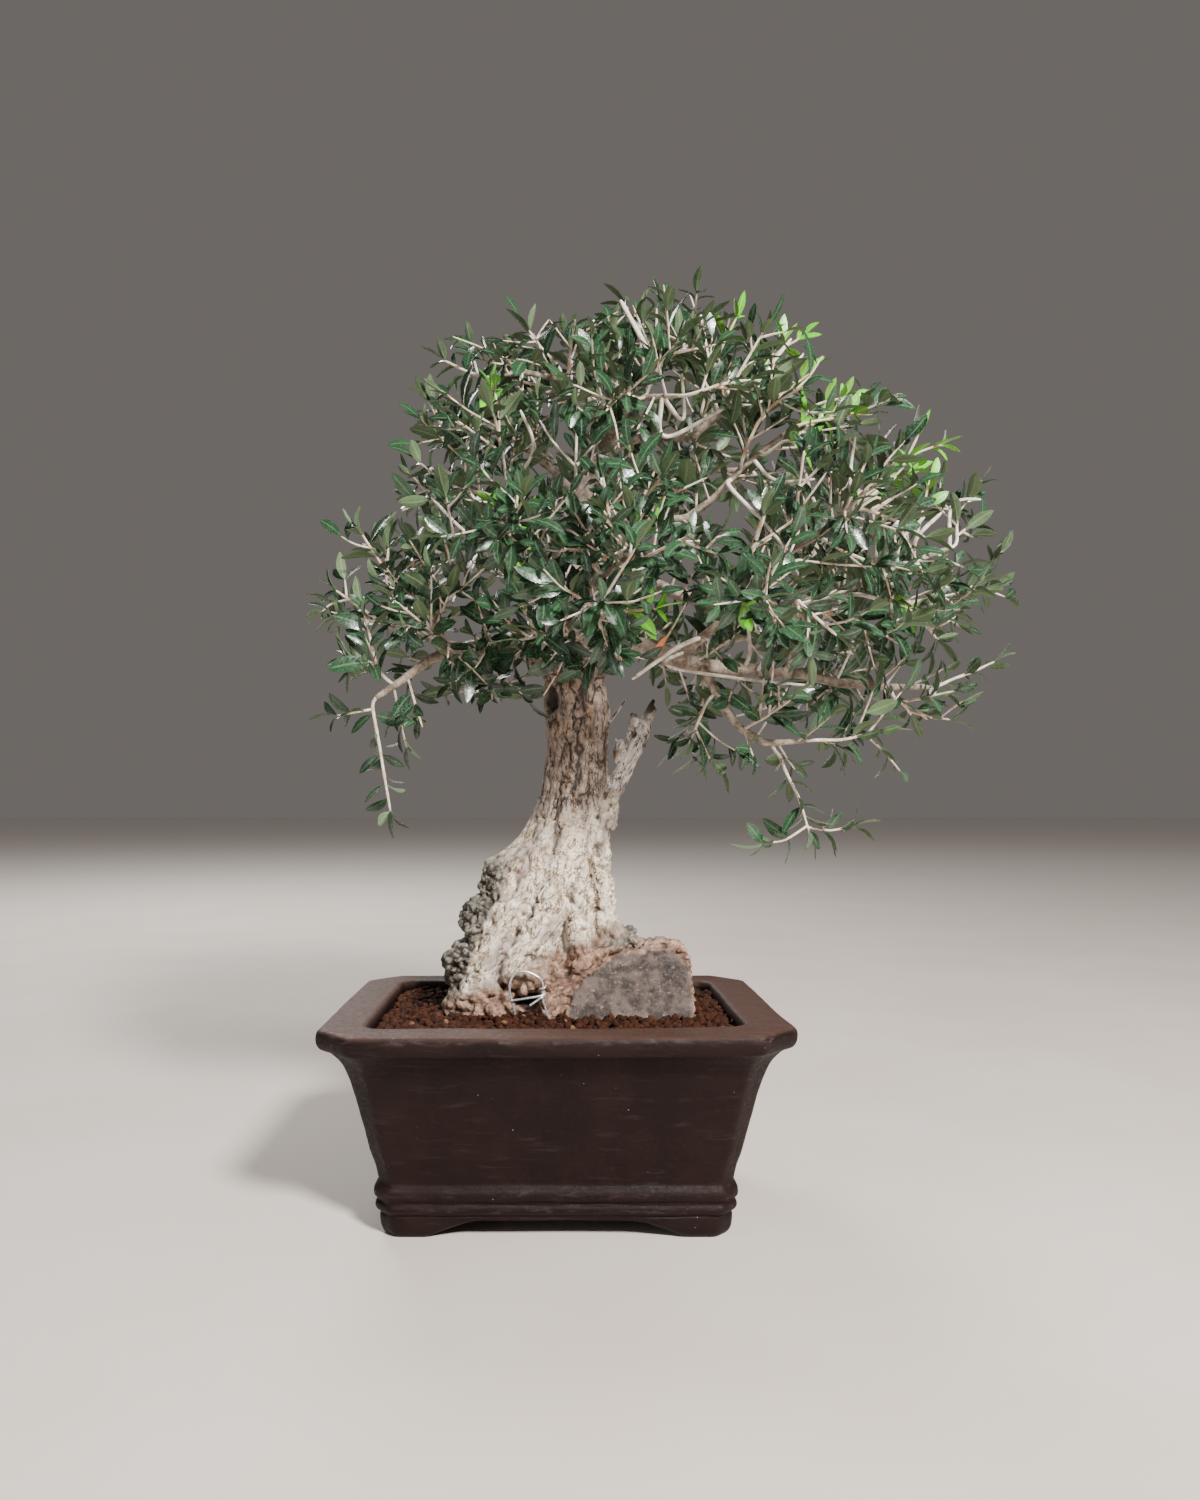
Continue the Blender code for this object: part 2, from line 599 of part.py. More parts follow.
def make_wire():
    left = [(*WIRE_LEFT, WIRE_UNDERSIDE), (*WIRE_LEFT, 60)]
    right = [(*WIRE_RIGHT, 60), (*WIRE_RIGHT, WIRE_UNDERSIDE)]
    path = [Vector(point) for point in left] + smooth_path(WIRE_ARCH, 6) + [Vector(point) for point in right]
    rings = tube_rings(path + path[:1], WIRE_RADIUS, WIRE_RADIUS, 6)[:-1]
    points = [point for ring in rings for point in ring]
    faces = []
    for row in range(len(rings)):
        after = (row + 1) % len(rings)
        for side in range(6):
            next_side = (side + 1) % 6
            faces.append((row * 6 + side, row * 6 + next_side, after * 6 + next_side, after * 6 + side))
    wire = solid("tie_wire", points, faces, "wire")
    extra = [tube("cross", smooth_path(WIRE_CROSS, 8), WIRE_RADIUS, WIRE_RADIUS, 6),
             tube("tail", smooth_path(WIRE_TAIL, 5), WIRE_RADIUS, WIRE_RADIUS, 6)]
    return shade(joined(wire, extra), 60)


def limb_points():
    """Every few millimetres along each leafy limb: place, heading, radius and share along it."""
    found = []
    for name, (start, end, points) in LIMBS.items():
        if name in BARE_LIMBS:
            continue
        path = smooth_path(points, LIMB_SEGMENT)
        legs = len(path) - 1
        for leg in range(legs):
            heading = (path[leg + 1] - path[leg]).normalized()
            steps = math.ceil((path[leg + 1] - path[leg]).length / 5)
            for step in range(1, steps + 1):
                share = (leg + step / steps) / legs
                place = path[leg].lerp(path[leg + 1], step / steps)
                found.append((place, heading, start + (end - start) * share, share))
    return found


def twig_start(tip, places, taken):
    """Where a twig to this tip leaves the limbs: near, ahead along the limb, and not crowded."""
    best = None
    for place, heading, radius, share in places:
        away = tip - place
        reach = away.length
        if reach < 24 or LIMB_END < share < 1:
            continue
        along = away.normalized().dot(heading)
        crowding = sum(14 for other in taken if (other - place).length < 9)
        cost = reach * (1.5 - 0.55 * along) + crowding + (18 if radius > 5 else 0)
        if best is None or cost < best[0]:
            best = (cost, place, heading, radius, share)
    return best[1:]


def clear_of_limb(place, radius, direction, crowd):
    """The point on a straight line out of the limb where a twig's flat end is just clear of it."""
    reach = radius * 0.5
    while True:
        start = place + direction * reach
        if not crowd.hits(*sheath([start - direction * GAP, start + direction * (radius + 4)], TWIG_RADIUS + 0.15)):
            return start
        reach += 0.15


def outward(heading, straight):
    """The direction in which a twig leaves a limb: mostly square to it, on the side of its tip."""
    square = (straight - heading * straight.dot(heading)).normalized()
    return (square + heading * 0.35 * math.copysign(1, straight.dot(heading))).normalized()


def rooted(route, places, crowd):
    """A drawn twig's route, starting just clear of the limb that it grows from."""
    open_places = [row for row in places if not LIMB_END < row[3] < 1]
    place, heading, radius, share = min(open_places, key=lambda row: (row[0] - route[0]).length)
    if share == 1:
        start = place + heading * (GAP + 0.1)
        return [start, start + heading * 3, *route[1:]]
    direction = outward(heading, (route[1] - route[0]).normalized())
    start = clear_of_limb(place, radius, direction, crowd)
    return [start, start + direction * 3, *route[1:]]


class Spray:
    """A leafy stem: its twigs as routes with thickness, and the leaves along them."""

    def __init__(self, name, seed):
        self.name = name
        self.draw = random.Random(seed)
        self.routes = []
        self.leaves = []
        self.drawn = False


def leaf_body(base, along, face_up, length, width, thickness):
    """A blade with a pointed base and tip, flat above and keeled below, arched a little."""
    across = along.cross(face_up).normalized()
    face_up = across.cross(along).normalized()
    points = [base]
    for share, wide, rise in LEAF_STATIONS:
        middle = base + along * (length * share) + face_up * (length * rise)
        points.append(middle + across * (width / 2 * wide))
        points.append(middle - across * (width / 2 * wide))
    points.append(base + along * length)
    points.append(base + along * (length * 0.48) + face_up * (length * 0.03 - thickness))
    rim = (0, 1, 3, 5, 4, 2)
    faces = [(0, 1, 2), (1, 3, 4), (1, 4, 2), (3, 5, 4)]
    faces += [(rim[index - 1], rim[index], 6) for index in range(6)]
    return points, faces


def tree_of(points, faces):
    return BVHTree.FromPolygons([Vector(point) for point in points], faces, epsilon=0.0)


def points_and_faces(thing):
    return [point.co / MM for point in thing.data.vertices], [tuple(face.vertices) for face in thing.data.polygons]


class Crowd:
    """What stands already, to keep new twigs and leaves clear of it."""

    def __init__(self):
        self.trees = []

    def add(self, points, faces):
        lows = Vector([min(point[axis] for point in points) for axis in range(3)])
        highs = Vector([max(point[axis] for point in points) for axis in range(3)])
        self.trees.append((lows, highs, tree_of(points, faces)))

    def hits(self, points, faces):
        lows = [min(point[axis] for point in points) for axis in range(3)]
        highs = [max(point[axis] for point in points) for axis in range(3)]
        tree = None
        for low, high, other in self.trees:
            if any(lows[axis] > high[axis] or highs[axis] < low[axis] for axis in range(3)):
                continue
            tree = tree or tree_of(points, faces)
            if other.overlap(tree):
                return True
        return False


def twig_path(spray, start, direction, tip, bow):
    """A slightly bowed route from a start, first straight along its direction, to a tip."""
    span = (tip - start).length
    knee = start + direction * min(5.0, span * 0.2)
    side = Vector([spray.draw.uniform(-bow, bow) for _ in range(3)])
    middle = (knee + tip) / 2 + side
    return [start, knee, middle, tip]


def sheath(path, radius, sides=4):
    return lofted(tube_rings(path, radius, radius, sides))


def lay_main(spray, tip, places, taken, crowd):
    """The main twig's route from a limb to its tip, clear of what stands already."""
    tip = Vector(tip)
    place, heading, radius, share = twig_start(tip, places, taken)
    for attempt in range(TRIES * 3):
        if share == 1:
            direction = heading
            start = place + heading * (GAP + 0.1)
        else:
            direction = outward(heading, (tip - place).normalized())
            start = clear_of_limb(place, radius, direction, crowd)
        path = twig_path(spray, start, direction, tip, 4 + attempt * 0.6)
        near = (start - place).length < radius + 2.5
        beyond = [start + direction * 3, *path[1:]]
        if near and not crowd.hits(*sheath(path, TWIG_RADIUS + 0.1)) and not crowd.hits(
                *sheath(beyond, TWIG_RADIUS + CLEARANCE)):
            taken.append(place)
            return path
        tip = tip + Vector([spray.draw.uniform(-2.5, 2.5) for _ in range(3)])
        if attempt % 6 == 5:
            place, heading, radius, share = twig_start(tip, places, [*taken, place, place, place])
    return None


def lay_shoots(spray, main, count, crowd):
    """Side shoots leave the outer part of the main twig to either side."""
    turn = spray.draw.uniform(0, math.tau)
    for index in range(count):
        for attempt in range(TRIES):
            share = 0.35 + 0.6 * (index + spray.draw.uniform(0.1, 0.9)) / count
            step = share * (len(main) - 1)
            low = min(int(step), len(main) - 2)
            start = main[low].lerp(main[low + 1], step - low)
            heading = (main[low + 1] - main[low]).normalized()
            side = heading.orthogonal().normalized()
            side.rotate(Matrix.Rotation(turn + index * 2.4 + spray.draw.uniform(-0.5, 0.5), 3, heading))
            direction = (heading * 0.75 + side * 0.8 + UP * 0.12).normalized()
            length = SHOOT_LENGTH * spray.draw.uniform(0.75, 1.15)
            end = start + direction * length + UP * spray.draw.uniform(-4, 5)
            path = [start, end]
            if not crowd.hits(*sheath([start + direction * 0.5, end], SHOOT_RADIUS + CLEARANCE)):
                spray.routes.append((path, SHOOT_RADIUS, SHOOT_RADIUS, 3))
                break


def lay_leaves(spray, path, radius, crowd, size, most_pairs):
    """Opposite pairs, each turned a quarter from the last, and one leaf at the tip."""
    lengths = [0.0]
    for a, b in zip(path, path[1:]):
        lengths.append(lengths[-1] + (b - a).length)
    total = lengths[-1]
    quarter = spray.draw.uniform(0, math.tau)
    for node in range(most_pairs + 1):
        along = total - node * LEAF_STEP - 0.2
        if along < 4:
            break
        leg = max(index for index in range(len(path) - 1) if lengths[index] <= along)
        share = (along - lengths[leg]) / max(lengths[leg + 1] - lengths[leg], 1e-6)
        base = path[leg].lerp(path[leg + 1], min(share, 1.0))
        heading = (path[leg + 1] - path[leg]).normalized()
        sides = 1 if node == 0 else 2
        for side_index in range(sides):
            if node and spray.draw.random() > LEAVES_KEPT:
                continue
            for attempt in range(TRIES):
                angle = quarter + node * math.pi / 2 + side_index * math.pi
                angle += spray.draw.uniform(-0.35, 0.35) * (1 + attempt * 0.35)
                side = heading.orthogonal().normalized()
                side.rotate(Matrix.Rotation(angle, 3, heading))
                lean = 0.12 if node == 0 else spray.draw.uniform(0.8, 1.25)
                direction = (heading * math.cos(lean) + side * math.sin(lean)).normalized()
                length = LEAF_LENGTH * size * spray.draw.uniform(0.72, 1.25)
                width = length * LEAF_SLIMNESS * spray.draw.uniform(0.8, 1.2)
                face = (heading * 0.6 + UP * 0.9 + side * 0.1).normalized()
                if abs(face.dot(direction)) > 0.9:
                    face = heading.cross(side)
                foot = base + direction * (0 if node else -1.0)
                shape = leaf_body(foot, direction, face, length, width, LEAF_THICKNESS)
                fat = leaf_body(foot + direction * (radius + 0.6), direction, face, length, width + 2 * CLEARANCE,
                                LEAF_THICKNESS + 2 * CLEARANCE)
                if not crowd.hits(*fat):
                    spray.leaves.append(shape)
                    crowd.add(*shape)
                    break


def united(name, pieces):
    """One body from overlapping pieces. Where they don't unite at once, they go on one by one,
    each moved a hair if need be, and a piece that still won't join is left off."""
    base = solid(name, *pieces[0])
    joined(base, [solid("piece", *piece) for piece in pieces[1:]])
    if is_one_body(base.data):
        return base
    bpy.data.objects.remove(base, do_unlink=True)
    base = solid(name, *pieces[0])
    for points, faces in pieces[1:]:
        before = base.data
        for nudge in NUDGES:
            moved = [Vector(point) + Vector((nudge, -nudge, nudge)) for point in points]
            base.data = before.copy()
            joined(base, [solid("piece", moved, faces)])
            if is_one_body(base.data):
                break
        else:
            base.data = before
    return base


def spray_object(spray, look):
    """The twigs and leaves of one stem, united."""
    twigs = [lofted(tube_rings(*route)) for route in spray.routes]
    thing = united(spray.name, twigs + spray.leaves)
    thing.data.materials.clear()
    thing.data.materials.append(material(look))
    return shade(thing, 30)


def grow_sprays(wood):
    places = limb_points()
    taken = []
    crowd = Crowd()
    crowd.add(*points_and_faces(wood))
    drawn = [("spray_", "leaves", TOP_SPRAY), ("spray_", "leaves", DRAWN_SPRAYS), ("", "young_leaves", YOUNG_SPRAYS)]
    plans = []
    for prefix, look, group in drawn:
        for name, routes in group.items():
            plans.append((prefix + name, look, [[Vector(point) for point in route] for route in routes]))
    for name, tip in SPRAY_TIPS.items():
        plans.append(("spray_" + name, "leaves", tip))
    sprays = []
    for seed, (name, look, plan) in enumerate(plans):
        spray = Spray(name, seed + 1)
        if isinstance(plan, list):
            spray.drawn = True
            for index, route in enumerate(plan):
                if not index:
                    route = rooted(route, places, crowd)
                    taken.append(route[0])
                radius = TWIG_RADIUS if index == 0 else SHOOT_RADIUS
                spray.routes.append((route, radius, radius * 0.85, 3 if index else 4))
        else:
            path = lay_main(spray, plan, places, taken, crowd)
            if path is None:
                continue
            spray.routes.append((path, TWIG_RADIUS, TWIG_RADIUS * 0.75, 3))
            lay_shoots(spray, path, SHOOTS_A_SPRAY, crowd)
        for route, radius, _, _ in spray.routes:
            crowd.add(*sheath(route, radius + CLEARANCE))
        sprays.append((spray, look))
    for spray, look in sprays:
        young = look == "young_leaves"
        for path, radius, _, _ in spray.routes:
            lay_leaves(spray, path, radius, crowd, 0.8 if young else 1.0, 2 if young or spray.drawn else MOST_PAIRS)
        spray_object(spray, look)


def centre_over_origin():
    """Moves every mesh so that the middle of the whole box stands over the origin."""
    corners = [point.co for thing in bpy.data.objects for point in thing.data.vertices]
    middle = [(min(c[axis] for c in corners) + max(c[axis] for c in corners)) / 2 for axis in range(2)]
    shift = Matrix.Translation((-middle[0], -middle[1], 0))
    for thing in bpy.data.objects:
        thing.data.transform(shift)


def main():
    clear_scene()
    make_pot()
    make_mesh("drainage_mesh_left", -DRAIN_X)
    make_mesh("drainage_mesh_right", DRAIN_X)
    make_wire()
    make_soil()
    wood = make_wood()
    grow_sprays(wood)
    centre_over_origin()


main()
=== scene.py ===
"""Olive bonsai: the finish of every surface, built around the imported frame.

Shapes are worked out in millimetres from the floor under the middle of the pot, with X to the
right, Y away from the front and Z up, and become metres as each mesh is made.
"""

import math
import random
from collections import defaultdict

import bmesh
import bpy
import numpy as np
from mathutils import Matrix, Vector, noise
from mathutils.bvhtree import BVHTree


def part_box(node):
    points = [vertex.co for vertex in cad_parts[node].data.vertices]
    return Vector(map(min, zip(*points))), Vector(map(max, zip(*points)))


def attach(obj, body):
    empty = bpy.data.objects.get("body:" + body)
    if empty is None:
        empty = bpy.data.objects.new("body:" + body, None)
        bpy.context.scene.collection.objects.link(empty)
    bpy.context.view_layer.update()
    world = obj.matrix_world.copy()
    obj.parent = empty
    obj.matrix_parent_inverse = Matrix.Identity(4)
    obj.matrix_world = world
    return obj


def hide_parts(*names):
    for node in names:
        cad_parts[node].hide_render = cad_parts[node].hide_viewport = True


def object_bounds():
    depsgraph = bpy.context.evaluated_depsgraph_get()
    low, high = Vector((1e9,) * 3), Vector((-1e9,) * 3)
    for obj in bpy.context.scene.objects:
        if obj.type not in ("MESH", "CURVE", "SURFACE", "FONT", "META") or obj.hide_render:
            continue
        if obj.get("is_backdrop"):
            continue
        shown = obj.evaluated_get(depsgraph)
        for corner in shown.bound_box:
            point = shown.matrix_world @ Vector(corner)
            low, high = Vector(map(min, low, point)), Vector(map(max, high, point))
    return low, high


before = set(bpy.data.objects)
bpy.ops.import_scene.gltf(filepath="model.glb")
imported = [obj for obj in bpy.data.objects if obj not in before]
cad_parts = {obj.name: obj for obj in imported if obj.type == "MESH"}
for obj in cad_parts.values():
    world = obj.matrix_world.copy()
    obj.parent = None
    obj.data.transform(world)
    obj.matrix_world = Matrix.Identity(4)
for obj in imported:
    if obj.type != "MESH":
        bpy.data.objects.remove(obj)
CAD_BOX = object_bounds()

MM = 0.001
UP = Vector((0, 0, 1))
POT_LOW, POT_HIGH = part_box("pot")
HOME = Vector(((POT_LOW.x + POT_HIGH.x) / 2, (POT_LOW.y + POT_HIGH.y) / 2, 0)) / MM

# Pot. A profile row is height, half length and how much is cut off each corner.
RIM_HALF_LENGTH = 140
RIM_HALF_DEPTH = 110
DEPTH_LESS = RIM_HALF_LENGTH - RIM_HALF_DEPTH
FLOOR_UNDERSIDE = 11.5
FLOOR_TOP = 22
POT_UNDERSIDE = ((11.5, 91, 9.5), (3, 91.2, 9.5), (0.9, 91.8, 9.4), (0, 93.4, 9.2), (0, 97, 8.6))
POT_OUTSIDE = (
    (0, 101, 7.9), (0.5, 102.6, 8.2), (1.8, 104, 8.6), (4.5, 105.1, 9), (8, 105.6, 9.2),
    (11.5, 105.8, 9.3), (12.6, 105.4, 9.1), (13.4, 105.3, 9), (14.4, 106.4, 9.2), (15.6, 107.6, 9.5),
    (17.4, 108.3, 9.9), (19, 108.2, 10), (20.2, 107.5, 9.6), (21.2, 106.9, 9.4), (22.2, 107.4, 9.4),
    (23.6, 108.5, 9.6), (26, 109, 9.9), (28.4, 108.7, 10), (30, 107.8, 9.4), (31.6, 106.6, 8.8),
    (33.5, 106.4, 8.8), (42, 108, 9.2), (51, 110.6, 9.8), (62, 113.1, 10.4), (73, 115.6, 11),
    (82, 117.7, 11.6), (90.5, 120, 12.4), (97, 122.1, 13.2), (102, 124, 14), (106, 126.4, 15.3),
    (109.5, 129.6, 17), (111.8, 132.2, 18.4), (112.9, 134.2, 19.4), (113.7, 136.4, 20.6),
    (115, 138.3, 21.6), (117.5, 139.6, 22.3), (120.5, 140, 22.5), (123, 139.8, 22.4),
    (124.8, 138.9, 21.9), (125.8, 137, 20.8), (126.1, 131, 17.2), (126.2, 121, 11.4), (126.1, 115, 8),
)
POT_INSIDE = (
    (125.8, 112.8, 6.8), (124.6, 111.6, 6), (121, 111.3, 6), (100, 110.5, 6), (60, 105, 6), (27, 97.5, 6),
    (22, 93, 6),
)
ARCH_ALONG_X = ((45, 10.8), (51, 9.6), (58, 7), (71, 2.2), (76, 0))
ARCH_ALONG_Y = ((19, 10.8), (25, 9.6), (31, 7), (43, 2.2), (48, 0))
CORNER_ROUNDING = 2.6
CORNER_POINTS = 4
# Divisions of the short, the cut, the long and the next cut side
SIDE_PIECES = (32, 5, 42, 5)
PROFILE_SPACING = 1.2
UPPER_GROOVE = 21.2
LOWER_GROOVE = 13
# A spot is its middle and its half sizes; where a half size is endless, it reaches right through.
RAISED_CORNER = ((128, -98, 0), (34 * math.sqrt(2), 34 * math.sqrt(2), math.inf))
DRAIN_X = 50
DRAIN_RADIUS = 13
WIRE_HOLE_RADIUS = 2.4

# Soil
SOIL_TOP = 119.6
SOIL_MOUND = 3.6
MOUND = ((8, 20), (95, 70))
SOIL_GAP = 0.3
# The bed's edge: half length, cut corner and height
SOIL_EDGE = (111.2 - SOIL_GAP, 6, 116.5)
BED_HALF_LENGTH = 111.4
BED_CUT = 6
GRAIN_SEED = 31
GRAIN_ROWS = 20
GRAIN_COLUMNS = 25
GRAIN_PITCH = 4.7
ROW_PITCH = GRAIN_PITCH * 0.87
GRAIN_SHIFT = 1.4
GRAIN_RISE = (-1.8, 0.7)
GRAIN_SIZE = (1.9, 3.0)
LOOSE_GRAINS = 420
LOOSE_RISE = (0.8, 2.2)
LOOSE_SIZE = (1.1, 2.2)

# Tie wire
WIRE_RADIUS = 0.75
WIRE_LEFT = (-26, -28)
WIRE_RIGHT = (-5.7, -28)
WIRE_UNDERSIDE = FLOOR_UNDERSIDE - SOIL_GAP - WIRE_RADIUS
WIRE_ARCH = (
    (-26, -28, 124), (-29.4, -29, 139), (-26.5, -29.5, 148.6), (-19, -29.6, 150.4), (-10.5, -29.4, 146.4),
    (-8.2, -29, 141), (-8.6, -28.4, 133), (-5.7, -28, 124),
)
WIRE_TWIST = (
    (-28.6, -30.4, 132.2), (-19, -31.2, 133.8), (-10.6, -30.6, 135.2), (-7.4, -29.6, 136.2),
    (-7.2, -27.6, 137.4), (-9.4, -27.2, 138.4), (-10.2, -29.6, 139.4), (-7.6, -30.8, 140.2),
    (-6.6, -28.6, 141.4),
)
WIRE_TAIL = ((-16.5, -31.4, 129.4), (-12.5, -30.6, 132), (-9, -29.9, 134.4), (-7.0, -28.2, 135))
# Holes through the pot's floor: X, Y, radius and sides
POT_HOLES = (
    (-DRAIN_X, 0, DRAIN_RADIUS, 48), (DRAIN_X, 0, DRAIN_RADIUS, 48),
    (*WIRE_LEFT, WIRE_HOLE_RADIUS, 20), (*WIRE_RIGHT, WIRE_HOLE_RADIUS, 20),
)

# Trunk. A ring is height, middle X, middle Y, half width and half depth.
TRUNK_RINGS = (
    (98, 6, 22, 58, 34), (110, 8, 23, 70, 38), (120, 10.5, 24, 78, 41), (133, 11, 24, 77, 42),
    (147, 9, 24, 76, 42), (158, 5, 23, 68.5, 41), (166, -3, 22, 57.5, 40), (176, -7, 21, 49, 38.5),
    (190, -7, 19, 45, 36.5), (206, -4, 18, 41.5, 33), (219, -1, 17, 37.5, 30), (232, 6, 17, 31, 27.5),
    (247, 11.5, 17, 26.5, 25), (266, 14, 17, 22, 22), (292, 15, 17, 20, 20.5), (314, 14.5, 17, 20.5, 20),
    (334, 12.5, 17, 20.5, 19.5), (343, 12, 17, 18.5, 17.5),
)
TRUNK_SIDES = 120
TRUNK_STEPS = 90
WOOD_SIDES = 20
# A lump is middle, half sizes and a turn about Z in degrees.
ROOT_LUMPS = (
    ((-38, 10, 202), (12, 15, 19), 10),
    ((-47, 8, 178), (16, 17, 18), 25),
    ((-56, 5, 150), (18, 20, 18), 0),
    ((-52, 0, 127), (20, 19, 16), -15),
    ((-17.5, -8, 139), (9, 16, 10), 0),
    ((4, -6, 122), (19, 15, 14), 0),
    ((-36, -8, 124), (15, 14, 14), 0),
)

# The sawn stub: its outline as X and Z, and the plane of its face.
STUB_OUTLINE = (
    (5, 112), (7, 131), (14, 144), (24, 151), (36, 157.5), (43, 162), (53, 160), (60, 162.5), (77, 163.5),
    (88, 150), (89, 112))
STUB_MIDDLE = Vector((52, -17.5, 142))
STUB_NORMAL = Vector((0.12, -0.95, 0.28)).normalized()
STUB_SECTIONS = ((0.94, 0), (1.0, 3.5), (0.86, 44))

CALLUS_ROUTE = (
    (0, -16, 124), (6, -19, 138), (14, -18, 148), (22, -16, 156), (31, -13.5, 163), (42, -10, 167),
    (53, -8, 168),
)
STUB_RIM = ((55, -8, 164), (64, -7.5, 164.5), (75, -7, 165), (84, -8, 160), (88.5, -10, 151))
# A ridge is its route and its radius at both ends.
RIDGES = (
    (CALLUS_ROUTE, 7, 4.2),
    (STUB_RIM, 2.4, 2.0),
    (((-30, -8, 142), (-24, -16, 147), (-17, -19, 146), (-9, -17, 144), (-2, -12, 140)), 6.5, 6),
    (((-66, -2, 118), (-60, -8, 130), (-48, -12, 137), (-36, -13, 140)), 11, 8),
    (((-3, -18, 118), (-4, -21, 128), (0, -20, 138), (4, -14, 150)), 7, 6),
    (((20, -4, 262), (26, -6, 232), (30, -7, 206), (33, -8, 182), (36, -10, 168)), 5, 8),
    (((8, -5, 262), (4, -9, 226), (-8, -13, 190), (-22, -16, 160), (-32, -14, 140)), 5, 9),
    (((-2, -2, 246), (-14, -5, 214), (-30, -8, 184), (-44, -9, 158), (-52, -8, 138)), 5, 9),
    (((14, -14, 206), (12, -17, 184), (16, -19, 164), (12, -18, 148)), 5, 7),
    (((46, 17, 278), (43, 16.5, 290), (41.5, 16.5, 299)), 4.6, 3.2),
    (((47, 18, 280), (54, 19.5, 296), (57.5, 20, 311)), 5.8, 4.8),
    (((52, 19, 298), (53.5, 19.5, 307), (54, 20, 314)), 5, 3.6),
    (((36, 8, 266), (37, 6, 252), (35, 2, 240)), 3.6, 4.2),
    (((42, 3, 165), (48, 2, 171), (52, 1, 175)), 4.6, 3.4),
    (((60, -2, 166), (68, -3, 166.5), (76, -4, 166), (82, -6, 163)), 2.6, 1.8),
)

# The deeper cracks of the front, each as points of X and Z
FRONT_CRACKS = (
    ((28, 245), (31, 239), (36, 231), (36, 226)),
    ((2, 224), (0, 212), (-7, 206), (-12, 197), (-20, 181), (-28, 170), (-35, 162)),
    ((7, 197), (11, 191), (29, 188)),
    ((9, 181), (-2, 174), (-8, 166), (-16, 162)),
    ((-40, 205), (-38, 189), (-43, 181), (-47, 174), (-55, 162)),
    ((6, 296), (3, 286), (1, 280), (6, 274), (17, 270)),
    ((17, 296), (17.5, 284), (12, 274), (11, 262), (12, 254), (8, 241)),
    ((25, 297), (26, 281), (25, 263), (28, 261), (29, 247)),
    ((0, 262), (3, 255), (-1, 246)),
    ((12, 322), (11, 311), (15, 302)),
)

# The torn ends of the dead wood: root, tip and thickness.
SPLINTERS = (
    ((64, 22, 320), (66.5, 22, 327), 2.6), ((62.5, 20, 319), (62, 19.5, 325), 2.0),
    ((66, 24, 318), (69, 24.5, 323), 1.8), ((51.5, 19, 313), (50, 18, 320), 1.8),
    ((53, 20, 312), (54, 20.5, 318), 1.6), ((42, 16, 298), (38.5, 15, 302), 1.3),
    ((57, 17, 300), (54, 13.5, 305), 1.8),
)

# Spots on the wood: loose crumbs, the dead wood's eye, the hollow, the knot, the grey rolled edge
# with its knob, and a dent in a root
CRUMBS = ((37.5, 0, 251), (6, math.inf, 15))
DEAD_EYE = ((52, 12, 303), (3.2, 8, 3.4))
HOLLOW = ((-4.5, 7, 325), (6.5, 14, 12))
KNOT = ((27, 0, 227), (5.5, math.inf, 7.5))
GREY_ROLL = ((46, 0, 167.5), (15, math.inf, 4.5))
GREY_KNOB = ((51, 0, 175), (7, math.inf, 7))
ROOT_DENT = ((-18, 0, 129), (9.5, math.inf, 7.5))
VOXEL = 1.2
BURIED_BELOW = 113

